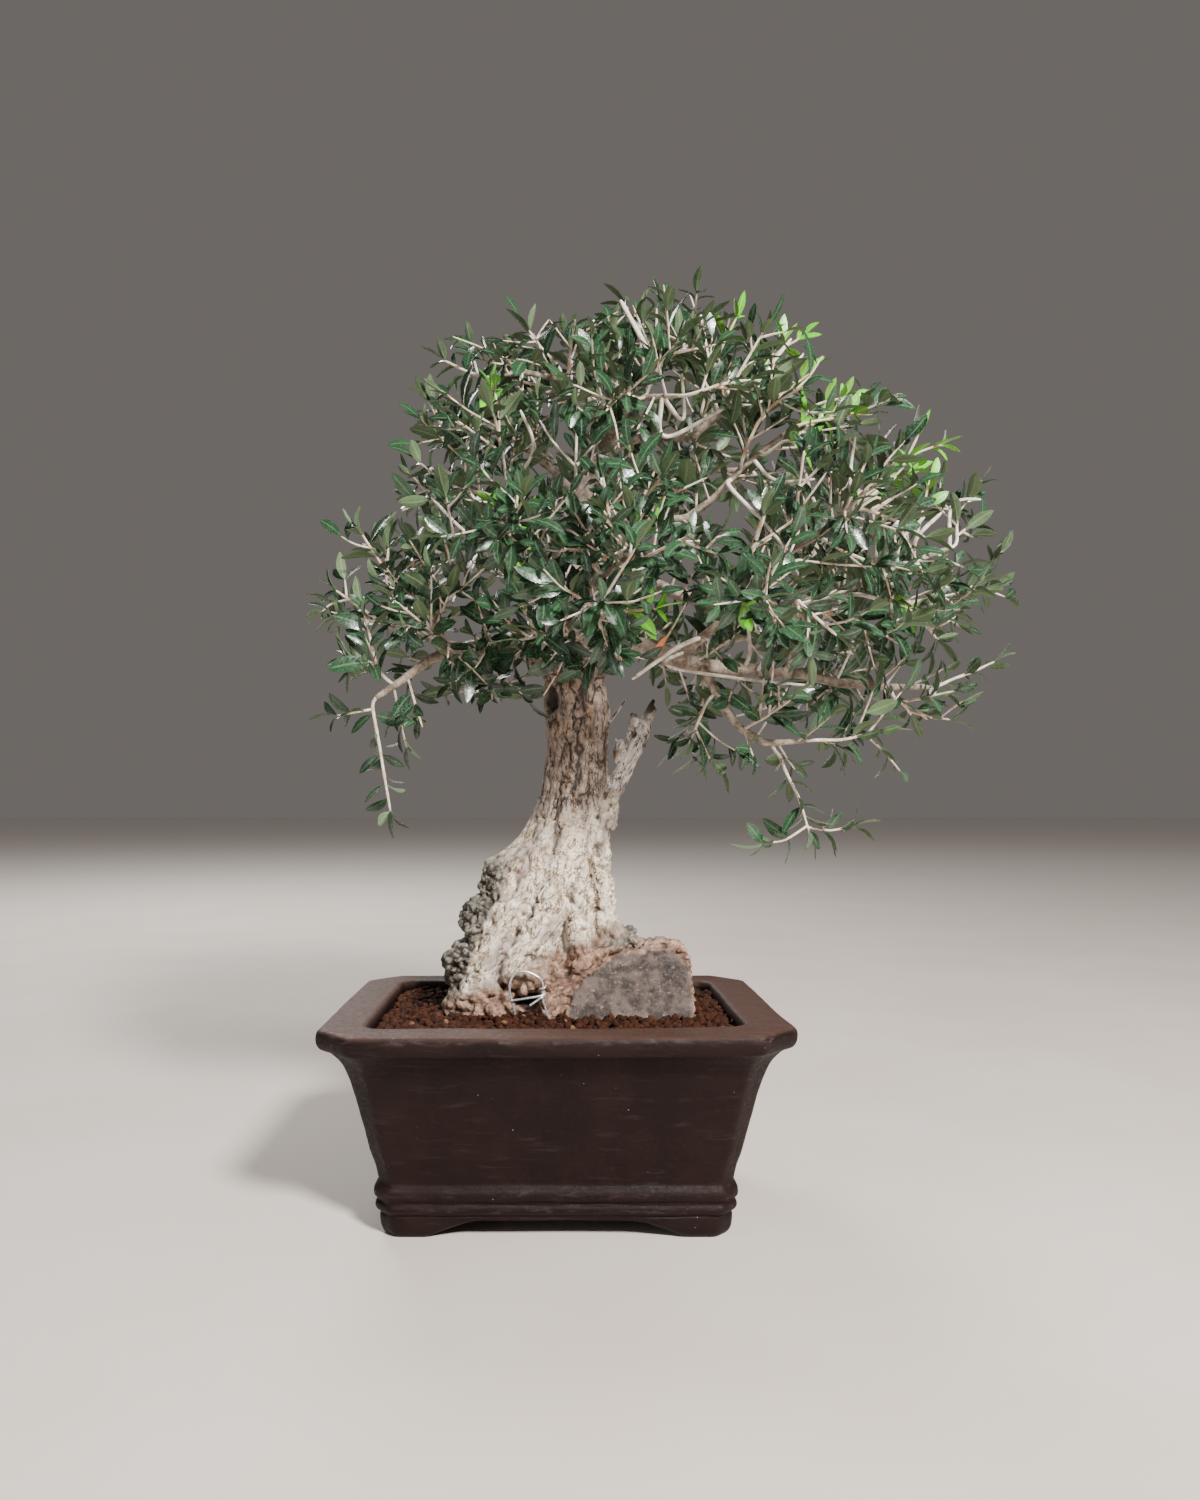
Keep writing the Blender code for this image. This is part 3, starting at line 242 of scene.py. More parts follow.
# Limbs: thickness at start and end, then the points they pass through.
LIMBS = {
    "leader": (11, 2.6, (
        (14, 16, 322), (11, 16, 367), (8, 18, 401), (11, 22, 439), (21, 26, 478), (38, 28, 509),
        (58, 24, 536), (67, 20, 571))),
    "low_left": (7, 1.8, (
        (5, 14, 326), (-2, 8, 345), (-19, 0, 356), (-43, -10, 358), (-65, -20, 356), (-82, -26, 347),
        (-98, -30, 334), (-113, -34, 323))),
    "far_left": (2.8, 1.4, (
        (-50, -14, 357), (-72, -8, 361), (-88, -3, 366), (-106, 0, 371), (-119, 2, 379))),
    "left_rise": (2.6, 1.4, ((-73, -23, 353), (-76, -27, 374), (-70, -33, 400), (-50, -37, 422))),
    "mid_left": (4, 1.4, ((9, 20, 420), (-11, 4, 438), (-34, -10, 451), (-55, -20, 459), (-71, -24, 469))),
    "up_left": (3.4, 1.4, ((17, 25, 462), (-4, 18, 484), (-27, 10, 500), (-49, 2, 508))),
    "top_left": (3.2, 1.4, ((38, 28, 509), (22, 22, 531), (3, 16, 543), (-22, 10, 545), (-44, 6, 540))),
    "back_left": (5, 1.8, ((10, 20, 385), (-10, 48, 412), (-38, 80, 432), (-72, 104, 446))),
    "back": (5.4, 1.8, ((11, 24, 412), (24, 55, 444), (34, 95, 478), (36, 128, 508))),
    "back_right": (4.6, 1.6, ((22, 27, 478), (60, 62, 497), (106, 95, 505), (150, 116, 512))),
    "back_low_right": (4.2, 1.6, (
        (62, -2, 357), (92, 30, 362), (124, 66, 374), (165, 92, 386), (208, 102, 398))),
    "back_low": (3.4, 1.6, ((16, 20, 350), (44, 52, 368), (72, 80, 372), (96, 92, 368))),
    "low_right": (7, 1.8, (
        (20, 12, 326), (26, 6, 345), (40, 0, 357), (57, -6, 360), (77, -10, 351), (96, -10, 346),
        (127, -6, 344), (161, 0, 342), (190, 3, 336), (222, 5, 334), (250, 6, 334))),
    "right_drop": (3.4, 1.6, (
        (95, -12, 345), (103, -17, 328), (116, -22, 306), (133, -24, 295), (160, -20, 297))),
    "mid_right": (5.4, 1.6, (
        (11, 20, 408), (34, 10, 417), (61, 0, 402), (92, -10, 389), (122, -14, 385), (153, -16, 384),
        (180, -14, 391), (206, -10, 404), (234, -6, 415), (258, -4, 424))),
    "far_right": (2.8, 1.4, ((155, -14, 384), (192, 2, 386), (230, 14, 390), (260, 20, 396))),
    "bright": (3.8, 1.4, (
        (16, 24, 458), (50, 10, 446), (85, -4, 443), (102, -15, 454), (118, -25, 470), (142, -34, 488))),
    "top_right": (3.8, 1.4, ((34, 28, 502), (64, 22, 506), (90, 10, 501), (108, 3, 514), (129, -3, 530))),
    "front": (4, 1.6, ((11, 16, 388), (19, -20, 392), (30, -58, 396), (42, -88, 400))),
    "front_left": (3.6, 1.4, ((8, 16, 402), (-6, -20, 412), (-20, -56, 420), (-28, -80, 424))),
    "front_low": (3.4, 1.4, ((8, 8, 343), (11, -26, 358), (20, -54, 365), (28, -80, 368))),
    "front_right": (3.4, 1.4, ((79, -12, 351), (98, -46, 366), (118, -78, 386), (136, -92, 396))),
    "front_top": (3, 1.3, ((37, 26, 508), (44, -6, 512), (56, -34, 512), (76, -52, 506))),
    "right_rise": (3, 1.3, (
        (152, -1, 343), (159, 10, 366), (166, 22, 402), (180, 30, 435), (204, 36, 466))),
    "right_upper": (3.2, 1.3, ((120, -14, 386), (134, -32, 402), (152, -46, 418), (180, -54, 434))),
    "dead_wood": (8, 3.4, (
        (29, 18, 252), (38, 18, 266), (47, 18, 280), (54, 19, 292), (59, 20, 304), (65, 22, 324))),
    "dead_wood_end": (3.6, 2, ((57, 19, 297), (53, 19, 307), (51.5, 19, 317))),
    "dead_wood_side": (2.8, 1.2, ((52, 18, 291), (46, 17, 297), (41, 16, 299))),
    "thin_stem": (1.8, 1.2, ((27, 28, 300), (38, 40, 314), (49, 46, 330))),
}
DEAD_WOOD = ("dead_wood", "dead_wood_end", "dead_wood_side")
BARE_LIMBS = (*DEAD_WOOD, "thin_stem")
LIMB_SEGMENT = 34
LIMB_END = 0.9
THICK_LIMB = 4.5
BLENDED_LENGTH = 46
LIMB_STEP = 2.3

# Sprays: the tip of each one's main twig. The twig leaves the limb that suits it best.
SPRAY_TIPS = {
    "left_far_up": (-109, -10, 423),
    "left_low_end": (-124, -38, 345),
    "left_low_front": (-79, -54, 368),
    "left_front": (-61, -62, 413),
    "left_high": (-74, 10, 471),
    "left_under": (-44, -14, 330),
    "left_trunk_front": (-22, -78, 353),
    "left_back": (-97, 112, 440),
    "left_crown_edge": (-80, 28, 508),
    "left_mid_front": (-32, -102, 416),
    "crown_left_front": (-38, -52, 495),
    "crown_left": (-18, 15, 572),
    "crown_left_back": (-40, 95, 560),
    "front_low_end": (26, -124, 368),
    "front_mid": (26, -122, 417),
    "front_high": (56, -97, 446),
    "front_right_end": (72, -126, 398),
    "back_high": (5, 150, 520),
    "back_mid": (52, 160, 456),
    "back_right_high": (108, 158, 524),
    "back_crown": (62, 112, 568),
    "crown_right": (97, 0, 574),
    "crown_front": (75, -57, 538),
    "crown_right_front": (117, -62, 512),
    "crown_back_right": (124, 92, 590),
    "right_high_front": (144, -85, 462),
    "right_high_back": (236, 62, 497),
    "right_high_end": (268, 10, 456),
    "right_front": (172, -82, 436),
    "right_mid_front": (116, -108, 418),
    "right_mid_outer": (226, -50, 420),
    "right_outer_front": (240, -32, 374),
    "right_front_low": (112, -140, 366),
    "right_low_front": (162, -88, 354),
    "right_low_hang": (238, 12, 316),
    "right_under_mid": (143, -54, 320),
    "drop_left": (86, -26, 298),
    "drop_right": (207, -14, 303),
    "right_back": (218, 140, 448),
    "right_back_low": (208, 86, 345),
    "back_low_end": (112, 104, 346),
}
# Sprays whose twigs are seen one by one: each route is a list of points, the first the main twig.
DRAWN_SPRAYS = {
    "crown_top": (
        ((67, 20, 571), (68, 19, 581), (68, 18, 591)),
        ((67, 20, 573), (57, 20, 583), (47, 20, 594))),
    "left_tip": (
        ((-119, 2, 379), (-129, 1, 386), (-138, 0, 392), (-145, 0, 397)),
        ((-137, 0, 391), (-149, 2, 389), (-155, 4, 384)),
        ((-138, 0, 392), (-139, -1, 404))),
    "hanging_twig": (
        ((-113, -34, 323), (-115, -34, 315), (-111, -34, 294), (-108, -34, 275), (-104, -34, 252)),
        ((-115, -34, 316), (-126, -35, 314), (-137, -36, 312))),
    "crown_left_stub": (
        ((-44, 6, 540), (-60, 6, 544), (-74, 6, 551)),
        ((-52, 6, 542), (-56, 0, 556))),
    "front_fork": (
        ((11, -20, 440), (12, -50, 452), (12, -58, 464), (13, -58, 498)),
        ((12, -57, 461), (-2, -58, 476), (-10, -58, 489)),
        ((12, -57, 461), (24, -58, 476))),
    "drop_end": (
        ((136, -24, 295), (144, -20, 287), (147, -20, 277), (155, -20, 262), (162, -20, 239)),
        ((161, -20, 242.4), (147, -20, 233), (132, -22, 231)),
        ((161, -20, 241.6), (176, -18, 239), (191, -16, 242))),
    "right_tip": (
        ((260, 20, 396), (272, 21, 399), (284, 22, 404), (300, 22, 426)),
        ((283, 22, 403), (298, 22, 400), (305, 22, 397))),
    "right_low_tip": (
        ((250, 6, 334), (263, 8, 339), (277, 8, 344), (292, 8, 351)),),
}
YOUNG_SPRAYS = {
    "young_right_arc": (
        ((142, -34, 488), (154, -38, 494), (170, -40, 496), (184, -42, 498)),
        ((170, -40, 496), (175, -46, 507))),
    "young_crown": (
        ((129, -3, 530), (137, -6, 544), (147, -8, 556)),),
    "young_top": (
        ((90, 10, 501), (100, 14, 530), (110, 10, 560), (120, 8, 580)),),
    "young_right_stub": (
        ((180, 30, 435), (205, 18, 462), (228, 4, 476), (239, 0, 500)),
        ((233, 3, 486), (246, 0, 491), (254, 0, 493))),
    "young_front": (
        ((28, -80, 368), (44, -84, 369), (58, -86, 370)),),
}

# Leaves of the frame's own sprays, laid by the frame's rule
TWIG_RADIUS = 1.0
SHOOT_RADIUS = 0.8
LEAF_LENGTH = 21
LEAF_SLIMNESS = 0.3
LEAF_THICKNESS = 0.9
LEAF_STATIONS = ((0.3, 0.86, 0.04), (0.68, 0.8, 0.03))
LEAF_STEP = 17
SHOOTS_A_SPRAY = 2
MOST_PAIRS = 1
LEAVES_KEPT = 0.86
SHOOT_LENGTH = 34
CLEARANCE = 0.5
GAP = 0.3
TRIES = 14
# Where a twig may leave its limb: the least reach to its tip, how near another twig is a crowd,
# and what a crowd and a thick limb cost in millimetres of reach
LEAST_REACH = 24
CROWD_WITHIN = 9
CROWD_COST = 14
THICK_RADIUS = 5
THICK_COST = 18

# Finer growth between them
FINE_STEP = 9.2
DRAWN_STEP = 14
BARE_SPRAY = "spray_front_fork"
FINE_LEAF = (13, 29, 20)
FINE_SLIMNESS = (0.28, 0.43)
FINE_SHOOTS_APART = 8.5
FINE_SHOOT_LENGTH = (18, 42)
FINE_SHOOT_RADIUS = 0.62
LEAF_TRIES = 5
SHOOT_TRIES = 8
FILLER_TRIES = 14
FILLER_RADII = (1.1, 0.62)
SPUR_SPACING = 12
SPUR_RADII = (0.8, 0.5)
SPUR_LENGTH = (22, 46)
BLADE_THICKNESS = 0.6
# A blade's stations: share of its length and of its half width.
BLADE_ROWS = ((0, 0.1), (0.09, 0.14), (0.25, 0.7), (0.46, 0.99), (0.69, 0.92), (0.88, 0.52))
# A blade's ring: share across from the midrib, and whether the point is on the underside.
BLADE_RING = ((-1, 0), (0, 0), (1, 0), (0, 1))
TOP_SIDES = 2
LEAF_SHARP = 55
CROWN_MIDDLE = Vector((50, 0, 400))
INSIDE_MARGIN = 1.0
# The crown's upper and lower outline from the front: X and Z at the pot's middle
CROWN_TOP = (
    (-150, 470), (-110, 520), (-83, 568), (-24, 566), (3, 580), (42, 590), (65, 603), (125, 592),
    (174, 574), (207, 540), (246, 518), (276, 500), (310, 478))
CROWN_FOOT = ((-94, 0), (-86, 320), (58, 324), (74, 0), (222, 0), (240, 312))

# Leafy twigs between the frame's sprays: the tip of each
FILL_TIPS = {
    "crown": (
        (30, -12, 588), (12, -24, 566), (44, -42, 560), (24, 44, 580), (30, -30, 540), (4, -62, 504),
        (92, -34, 556), (130, -30, 536), (154, 6, 548), (150, 50, 560), (-34, -26, 540), (-40, 56, 520),
        (64, 60, 590)),
    "front": (
        (-8, -108, 378), (-2, -72, 344), (36, -78, 342), (62, -86, 420), (-22, -64, 446), (96, -78, 468),
        (4, -96, 402), (30, -80, 486)),
    "left": (
        (-96, 40, 405), (-66, -56, 344), (-70, -24, 450), (-104, -36, 392), (-136, 26, 368),
        (-62, -54, 386), (-100, -44, 368), (-48, -44, 498), (-40, -60, 352)),
    "right": (
        (210, -58, 352), (198, -36, 500), (178, 14, 516), (150, -66, 504), (150, -70, 400),
        (206, -64, 398), (196, -70, 450), (240, -30, 440), (262, -10, 380), (130, -70, 344),
        (226, 30, 470)),
    "back": (
        (150, 146, 410), (10, 120, 430), (96, 140, 470), (176, 110, 470), (-60, 110, 480), (60, 130, 390),
        (200, 120, 370), (-20, 130, 470)),
}
# Young shoots: the tip of each
YOUNG_TIPS = (
    (60, -98, 414), (-36, -62, 436), (-20, -60, 438), (-20, -70, 394), (-36, -42, 518), (166, 2, 566),
    (166, 0, 546), (188, -30, 512), (196, -42, 452), (207, -40, 434), (226, -34, 376), (244, -6, 468),
    (232, -8, 478), (264, 0, 500), (150, -60, 470), (110, -90, 366),
)
# Bare cut twigs: thickness, then the points after the limb that each grows from
CUT_TWIGS = (
    (1.7, ((62, 10, 558), (43, 10, 593))),
    (1.2, ((81, -25, 500), (80, -25, 530))),
    (1.3, ((67, -35, 486), (105, -35, 504))),
    (1.3, ((106, -50, 451), (124, -51, 432), (142, -50, 412))),
    (1.1, ((186, -30, 467), (189, -30, 489))),
    (1.3, ((230, -20, 426), (247, -20, 443))),
    (1.3, ((220, -20, 425), (236, -20, 440))),
    (1.1, ((261, 0, 455), (280, 0, 457))),
    (1.1, ((137, -35, 459), (162, -35, 460))),
    (1.1, ((162, -35, 445), (154, -35, 472))),
    (1.1, ((200, -10, 453), (221, -10, 469))),
    (1.3, ((76, -44, 354), (46, -60, 332))),
    (1.3, ((184, -60, 383), (198, -60, 379))),
    (1.4, ((130, 0, 531), (155, 0, 563))),
    (1.2, ((149, 4, 535), (164, 4, 555))),
    (1.0, ((68, -30, 344), (121, -30, 335), (162, -30, 331))),
    (1.2, ((125.5, -14, 353), (123.5, -14, 375))),
    (1.1, ((131, -14, 344), (150, -16, 374))),
    (1.1, ((139, -22, 377), (188, -22, 394))),
    (1.1, ((202, -30, 411), (200, -30, 444))),
    (1.1, ((103, 0, 542), (95, 0, 580))),
    (1.1, ((-14, -40, 476), (-22, -50, 498))),
    (1.1, ((-60, -30, 430), (-78, -38, 448))),
)
# How far in front of a bare twig no fine leaf grows
SIGHT_LENGTH = 60
DRY_LEAF = ((57.4, -60, 344.7), (0.58, 0, 0.81), 17, 4)

SPUR_GROUPS = {
    "left": ("low_left", "far_left", "left_rise", "mid_left", "up_left", "top_left"),
    "right": ("low_right", "right_drop", "mid_right", "far_right", "right_rise", "right_upper"),
    "front": ("front", "front_left", "front_low", "front_right", "front_top", "bright"),
    "back": ("back_left", "back", "back_right", "back_low_right", "back_low"),
    "crown": ("leader", "top_right"),
}
# How far along a limb its spurs start, and where they start later as the limb is bare.
SPURS_FROM = 30
SPUR_START = {"low_left": 40, "low_right": 46, "leader": 56}

# The first seed of each kind of growth
SPRAY_SEED = 1000
SPUR_SEED = 4000
CUT_SEED = 5000
YOUNG_SEED = 5500
FILL_SEED = 6000

# Leaf faces: light, deep, rib and dust colours, roughness and how much dust lies on them
LEAF_TONES = {
    "leaf": {
        "leaf_top": ((36, 68, 43), (6, 22, 16), (84, 112, 78), (126, 148, 130), 0.25, 0.2),
        "leaf_under": ((92, 114, 80), (54, 76, 50), (126, 142, 106), (130, 144, 120), 0.5, 0.25),
    # Young leaves: their own bright yellow-green, brightened further to stand for light shining through them,
    # which is painted light
    },
    "young": {
        "young_leaf_top": ((96, 186, 30), (52, 134, 20), (150, 208, 84), (160, 206, 104), 0.35, 0.12),
        "young_leaf_under": ((120, 184, 62), (84, 146, 42), (168, 206, 104), (190, 220, 130), 0.5, 0.1),
    },
    "dry": {
        "dry_leaf_top": ((196, 112, 62), (150, 78, 42), (206, 150, 100), (190, 140, 100), 0.6, 0.3),
        "dry_leaf_under": ((186, 128, 84), (150, 96, 60), (206, 160, 120), (190, 150, 110), 0.7, 0.3),
    },
}
# Twigs: pale, dark and knot colours
TWIG_TONES = {
    "leaf": ("twig", ((228, 219, 208), (170, 155, 140), (190, 138, 88))),
    "young": ("young_twig", ((206, 198, 176), (168, 158, 120), (184, 170, 90))),
}

# Camera and light
CAMERA_PLACE = Vector((0, -712, 259))
LENS = 25.92
# The picture's middle lies a little right of and above the point that the camera looks at.
FRAMING = (0.0293, 0.0333)
WORLD_STRENGTH = 0.2
# Round lamps: place in metres, radius, power and colour
LAMPS = {
    "key": ((0.7, -1.4, 1.35), 0.17, 415, (1, 0.97, 0.93)),
    "fill": ((-1.7, -1.1, 0.8), 0.6, 24, (0.95, 0.97, 1)),
    "rim": ((-0.8, 1.6, 1.5), 0.5, 140, (1, 0.99, 0.97)),
}


def tint(red, green, blue):
    """A linear colour from one given as 0 to 255 on a screen."""
    return tuple((value / 255 / 12.92) if value < 10.3 else ((value / 255 + 0.055) / 1.055) ** 2.4
                 for value in (red, green, blue))


def smoothstep(low, high, value):
    share = min(1.0, max(0.0, (value - low) / (high - low)))
    return share * share * (3 - 2 * share)


def bell(value, middle, width):
    return math.exp(-((value - middle) / width) ** 2)


class Looks:
    """A material in the making: a Principled shader and short calls for the nodes before it."""

    def __init__(self, name, roughness=0.6, metallic=0.0, specular=0.5):
        self.material = bpy.data.materials.new(name)
        self.material.use_nodes = True
        self.tree = self.material.node_tree
        self.shader = self.tree.nodes["Principled BSDF"]
        self.feed(self.shader, {"Roughness": roughness, "Metallic": metallic, "Specular IOR Level": specular})
        self.place = self.node("ShaderNodeTexCoord").outputs["Object"]

    def feed(self, node, inputs):
        """Links or writes the inputs of a node, each given by its name or number."""
        for key, value in inputs.items():
            socket = node.inputs[key]
            if isinstance(value, bpy.types.NodeSocket):
                self.tree.links.new(value, socket)
            elif isinstance(value, tuple) and socket.type == "RGBA":
                socket.default_value = (*value, 1)
            else:
                socket.default_value = value

    def node(self, kind, inputs=None, **settings):
        made = self.tree.nodes.new(kind)
        for name, value in settings.items():
            setattr(made, name, value)
        self.feed(made, inputs or {})
        return made

    def math(self, operation, first, second=0.0):
        return self.node("ShaderNodeMath", {0: first, 1: second}, operation=operation).outputs[0]

    def times(self, first, second):
        return self.math("MULTIPLY", first, second)

    def noise(self, size_mm, detail=3.0, roughness=0.5, distortion=0.0, stretch=None, lean=0):
        """Noise whose blobs are about size_mm wide. The axes are leaned about Y, in degrees, and
        then scaled by stretch."""
        place = self.place
        if lean:
            turn = {"Vector": place, "Angle": math.radians(lean)}
            place = self.node("ShaderNodeVectorRotate", turn, rotation_type="Y_AXIS").outputs[0]
        if stretch:
            place = self.node("ShaderNodeVectorMath", {0: place, 1: stretch}, operation="MULTIPLY").outputs[0]
        inputs = {"Scale": 1 / (size_mm * MM), "Detail": detail, "Roughness": roughness,
                  "Distortion": distortion, "Vector": place}
        return self.node("ShaderNodeTexNoise", inputs).outputs["Fac"]

    def lines(self, value, width):
        """Thin wandering lines where a noise passes its middle: 1 on a line."""
        return self.ramp(self.math("ABSOLUTE", self.math("SUBTRACT", value, 0.5)), width, width * 0.3)

    def cells(self, size_mm):
        inputs = {"Scale": 1 / (size_mm * MM), "Vector": self.place}
        return self.node("ShaderNodeTexVoronoi", inputs).outputs["Distance"]

    def ramp(self, value, low, high, to_low=0.0, to_high=1.0):
        """A smooth step from to_low to to_high while a value passes from low to high."""
        inputs = {"Value": value, "From Min": low, "From Max": high, "To Min": to_low, "To Max": to_high}
        return self.node("ShaderNodeMapRange", inputs, interpolation_type="SMOOTHSTEP").outputs["Result"]

    def mix(self, share, first, second):
        return self.node("ShaderNodeMix", {"Factor": share, 6: first, 7: second}, data_type="RGBA").outputs[2]

    def coat(self, under, over, value, low, high, most=1.0):
        """A colour laid over another while a value passes from low to high."""
        return self.mix(self.ramp(value, low, high, 0, most), under, over)

    def paint(self, name="paint"):
        """The three numbers painted on the mesh."""
        made = self.node("ShaderNodeAttribute", attribute_name=name, attribute_type="GEOMETRY")
        return tuple(self.node("ShaderNodeSeparateColor", {0: made.outputs["Color"]}).outputs)

    def bump(self, height, depth_mm, strength, before=None):
        inputs = {"Strength": strength, "Distance": depth_mm * MM, "Height": height}
        if before:
            inputs["Normal"] = before
        return self.node("ShaderNodeBump", inputs).outputs["Normal"]

    def done(self, colour, patches, roughness, normal):
        """The finished material. A noise says where it is smoother and rougher."""
        rough = self.ramp(patches, 0.3, 0.7, *roughness)
        self.feed(self.shader, {"Base Color": colour, "Roughness": rough, "Normal": normal})
        return self.material


def clay_looks():
    looks = Looks("clay_finish", specular=0.14)
    dusty, rubbed_and_highlit, _ = looks.paint()
    fine = looks.noise(2.4, 4, 0.65)
    colour = looks.coat(tint(18, 8, 7), tint(27, 14, 12), looks.noise(38, 4, 0.6), 0.35, 0.68)
    colour = looks.coat(colour, tint(40, 25, 22), fine, 0.46, 0.75, 0.4)
    colour = looks.coat(colour, tint(50, 40, 41), looks.noise(6, 4, 0.6, 0.3, (0.25, 1, 2)), 0.56, 0.7, 0.3)
    top = looks.mix(looks.noise(14, 3, 0.5, 0.4, (1, 4, 1)), tint(52, 36, 31), tint(84, 62, 54))
    colour = looks.mix(looks.times(dusty, 0.9), colour, top)
    # Worn, dusty rim edges and beads in lilac-grey, which also serves as a painted highlight there
    wear_and_highlight = looks.ramp(looks.noise(9, 5, 0.7, 0.4, (0.5, 1, 2)), 0.5, 0.68, 0, 0.62)
    colour = looks.mix(looks.times(rubbed_and_highlit, wear_and_highlight), colour, tint(74, 62, 63))
    specks = looks.ramp(looks.cells(5.2), 0.07, 0.035)
    rare = looks.ramp(looks.noise(24, 1), 0.56, 0.64)
    colour = looks.mix(looks.times(specks, rare), colour, tint(150, 138, 132))
    normal = looks.bump(looks.noise(1.1, 5, 0.7), 0.25, 0.8)
    normal = looks.bump(looks.noise(9, 3, 0.5, 0.3, (1, 1, 2.2)), 0.7, 0.6, normal)
    return looks.done(colour, fine, (0.46, 0.68), normal)


def grain_looks():
    looks = Looks("soil_grains", 0.95, specular=0.2)
    chance, shade, _ = looks.paint()
    colour = looks.coat(tint(40, 19, 10), tint(76, 40, 21), chance, 0, 1)
    colour = looks.coat(colour, tint(134, 102, 76), chance, 0.975, 0.985)
    colour = looks.coat(colour, tint(42, 22, 15), looks.noise(1.3, 3), 0.35, 0.7, 0.6)
    # The second number darkens each grain a little at random, and the bed between the grains much more, as
    # painted shade in the gaps
    colour = looks.mix(shade, colour, tint(20, 11, 8))
    normal = looks.bump(looks.noise(0.6, 4, 0.7), 0.3, 0.9)
    return looks.done(colour, looks.noise(1), (0.85, 1.0), normal)


def wood_looks():
    """Six kinds of bark and wood, each laid where the mesh is painted for it, and over all a darkening that
    is mostly painted shade in cracks, pits and hollows, with some dark marks of the wood's own.
    """
    looks = Looks("bark", 0.85)
    shade_and_dark_spots, cream, pink = looks.paint()
    dark, stub, limb = looks.paint("place")
    medium = looks.noise(7, 5, 0.62, 0.3)
    broad = looks.noise(21, 3, 0.55)
    fine = looks.noise(1.7, 5, 0.7)
    upright = looks.noise(7.5, 4, 0.6, 0.3, (1, 1, 0.22))
    flow = looks.noise(6.5, 5, 0.62, 0.4, (1, 1, 0.34), -26)
    curls = looks.noise(3.6, 4, 0.6, 0.9)
    colour = looks.coat(tint(108, 91, 80), tint(170, 155, 143), medium, 0.34, 0.66)
    ochre = looks.noise(5, 4, 0.6, 0.5, (1, 1, 0.18))
    colour = looks.coat(colour, tint(150, 110, 66), ochre, 0.52, 0.68, 0.7)
    umber = looks.noise(3.4, 4, 0.6, 0.2, (1, 1, 0.22))
    colour = looks.coat(colour, tint(66, 53, 45), umber, 0.55, 0.68, 0.7)
    colour = looks.mix(looks.lines(upright, 0.022), colour, tint(38, 28, 23))

    flakes = looks.coat(tint(218, 202, 178), tint(250, 240, 224), medium, 0.3, 0.62)
    flakes = looks.coat(flakes, tint(156, 147, 146), broad, 0.47, 0.62, 0.75)
    flakes = looks.coat(flakes, tint(166, 132, 92), looks.noise(4.2, 4, 0.65, 0.5), 0.58, 0.7, 0.7)
    flakes = looks.mix(looks.times(looks.lines(flow, 0.034), 0.8), flakes, tint(166, 132, 88))
    flakes = looks.mix(looks.times(looks.lines(flow, 0.012), 0.95), flakes, tint(52, 40, 32))
    curled = looks.times(looks.lines(curls, 0.024), looks.ramp(broad, 0.56, 0.46))
    flakes = looks.mix(curled, flakes, tint(78, 60, 44))
    colour = looks.mix(cream, colour, flakes)

    callus = looks.coat(tint(112, 80, 63), tint(186, 152, 130), medium, 0.35, 0.65)
    callus = looks.coat(callus, tint(78, 54, 42), looks.noise(3.2, 4, 0.65), 0.54, 0.68, 0.8)
    callus = looks.mix(looks.lines(curls, 0.02), callus, tint(70, 49, 38))
    colour = looks.mix(pink, colour, callus)

    moss = looks.coat(tint(34, 31, 27), tint(150, 145, 134), looks.noise(3.4, 5, 0.7), 0.38, 0.62)
    moss = looks.coat(moss, tint(90, 92, 76), broad, 0.42, 0.6, 0.4)
    colour = looks.mix(dark, colour, moss)

    cut = looks.coat(tint(46, 38, 36), tint(98, 84, 78), looks.noise(11, 4, 0.6), 0.38, 0.62)
    cut = looks.coat(cut, tint(152, 136, 128), looks.noise(2.4, 5, 0.75, 0.3), 0.54, 0.7, 0.8)
    cut = looks.coat(cut, tint(36, 28, 25), looks.noise(3.6, 4, 0.7, 0.4), 0.54, 0.68, 0.85)
    colour = looks.mix(stub, colour, cut)

    rind = looks.coat(tint(120, 105, 92), tint(192, 180, 165), looks.noise(6, 4, 0.6, 0.2), 0.35, 0.66)
    rind = looks.coat(rind, tint(140, 102, 68), looks.noise(2.2, 3), 0.6, 0.7, 0.7)
    grain = looks.noise(5, 4, 0.65, 0.2, (1, 1, 0.3), -30)
    silver = looks.coat(tint(134, 120, 116), tint(242, 233, 228), grain, 0.34, 0.58)
    splits = looks.lines(looks.noise(4, 3, 0.6, 0.2, (1, 1, 0.16), -30), 0.026)
    silver = looks.mix(splits, silver, tint(54, 43, 38))
    rind = looks.mix(cream, rind, silver)
    colour = looks.mix(limb, colour, rind)

    # Darker where the fine bumps sink: painted shade in their hollows
    colour = looks.mix(looks.ramp(fine, 0.3, 0.7, 0.3, 0.0), colour, tint(60, 48, 40))
    # Painted shade in cracks, pits, hollows and the dent, together with the burnt tip's char and some dark
    # spots of the wood itself
    colour = looks.coat(colour, tint(38, 28, 22), shade_and_dark_spots, 0.15, 0.85, 0.92)
    normal = looks.bump(fine, 0.5, 0.8)
    normal = looks.bump(flow, 0.9, 0.45, normal)
    normal = looks.bump(curls, 0.5, 0.5, normal)
    return looks.done(colour, fine, (0.72, 0.92), normal)


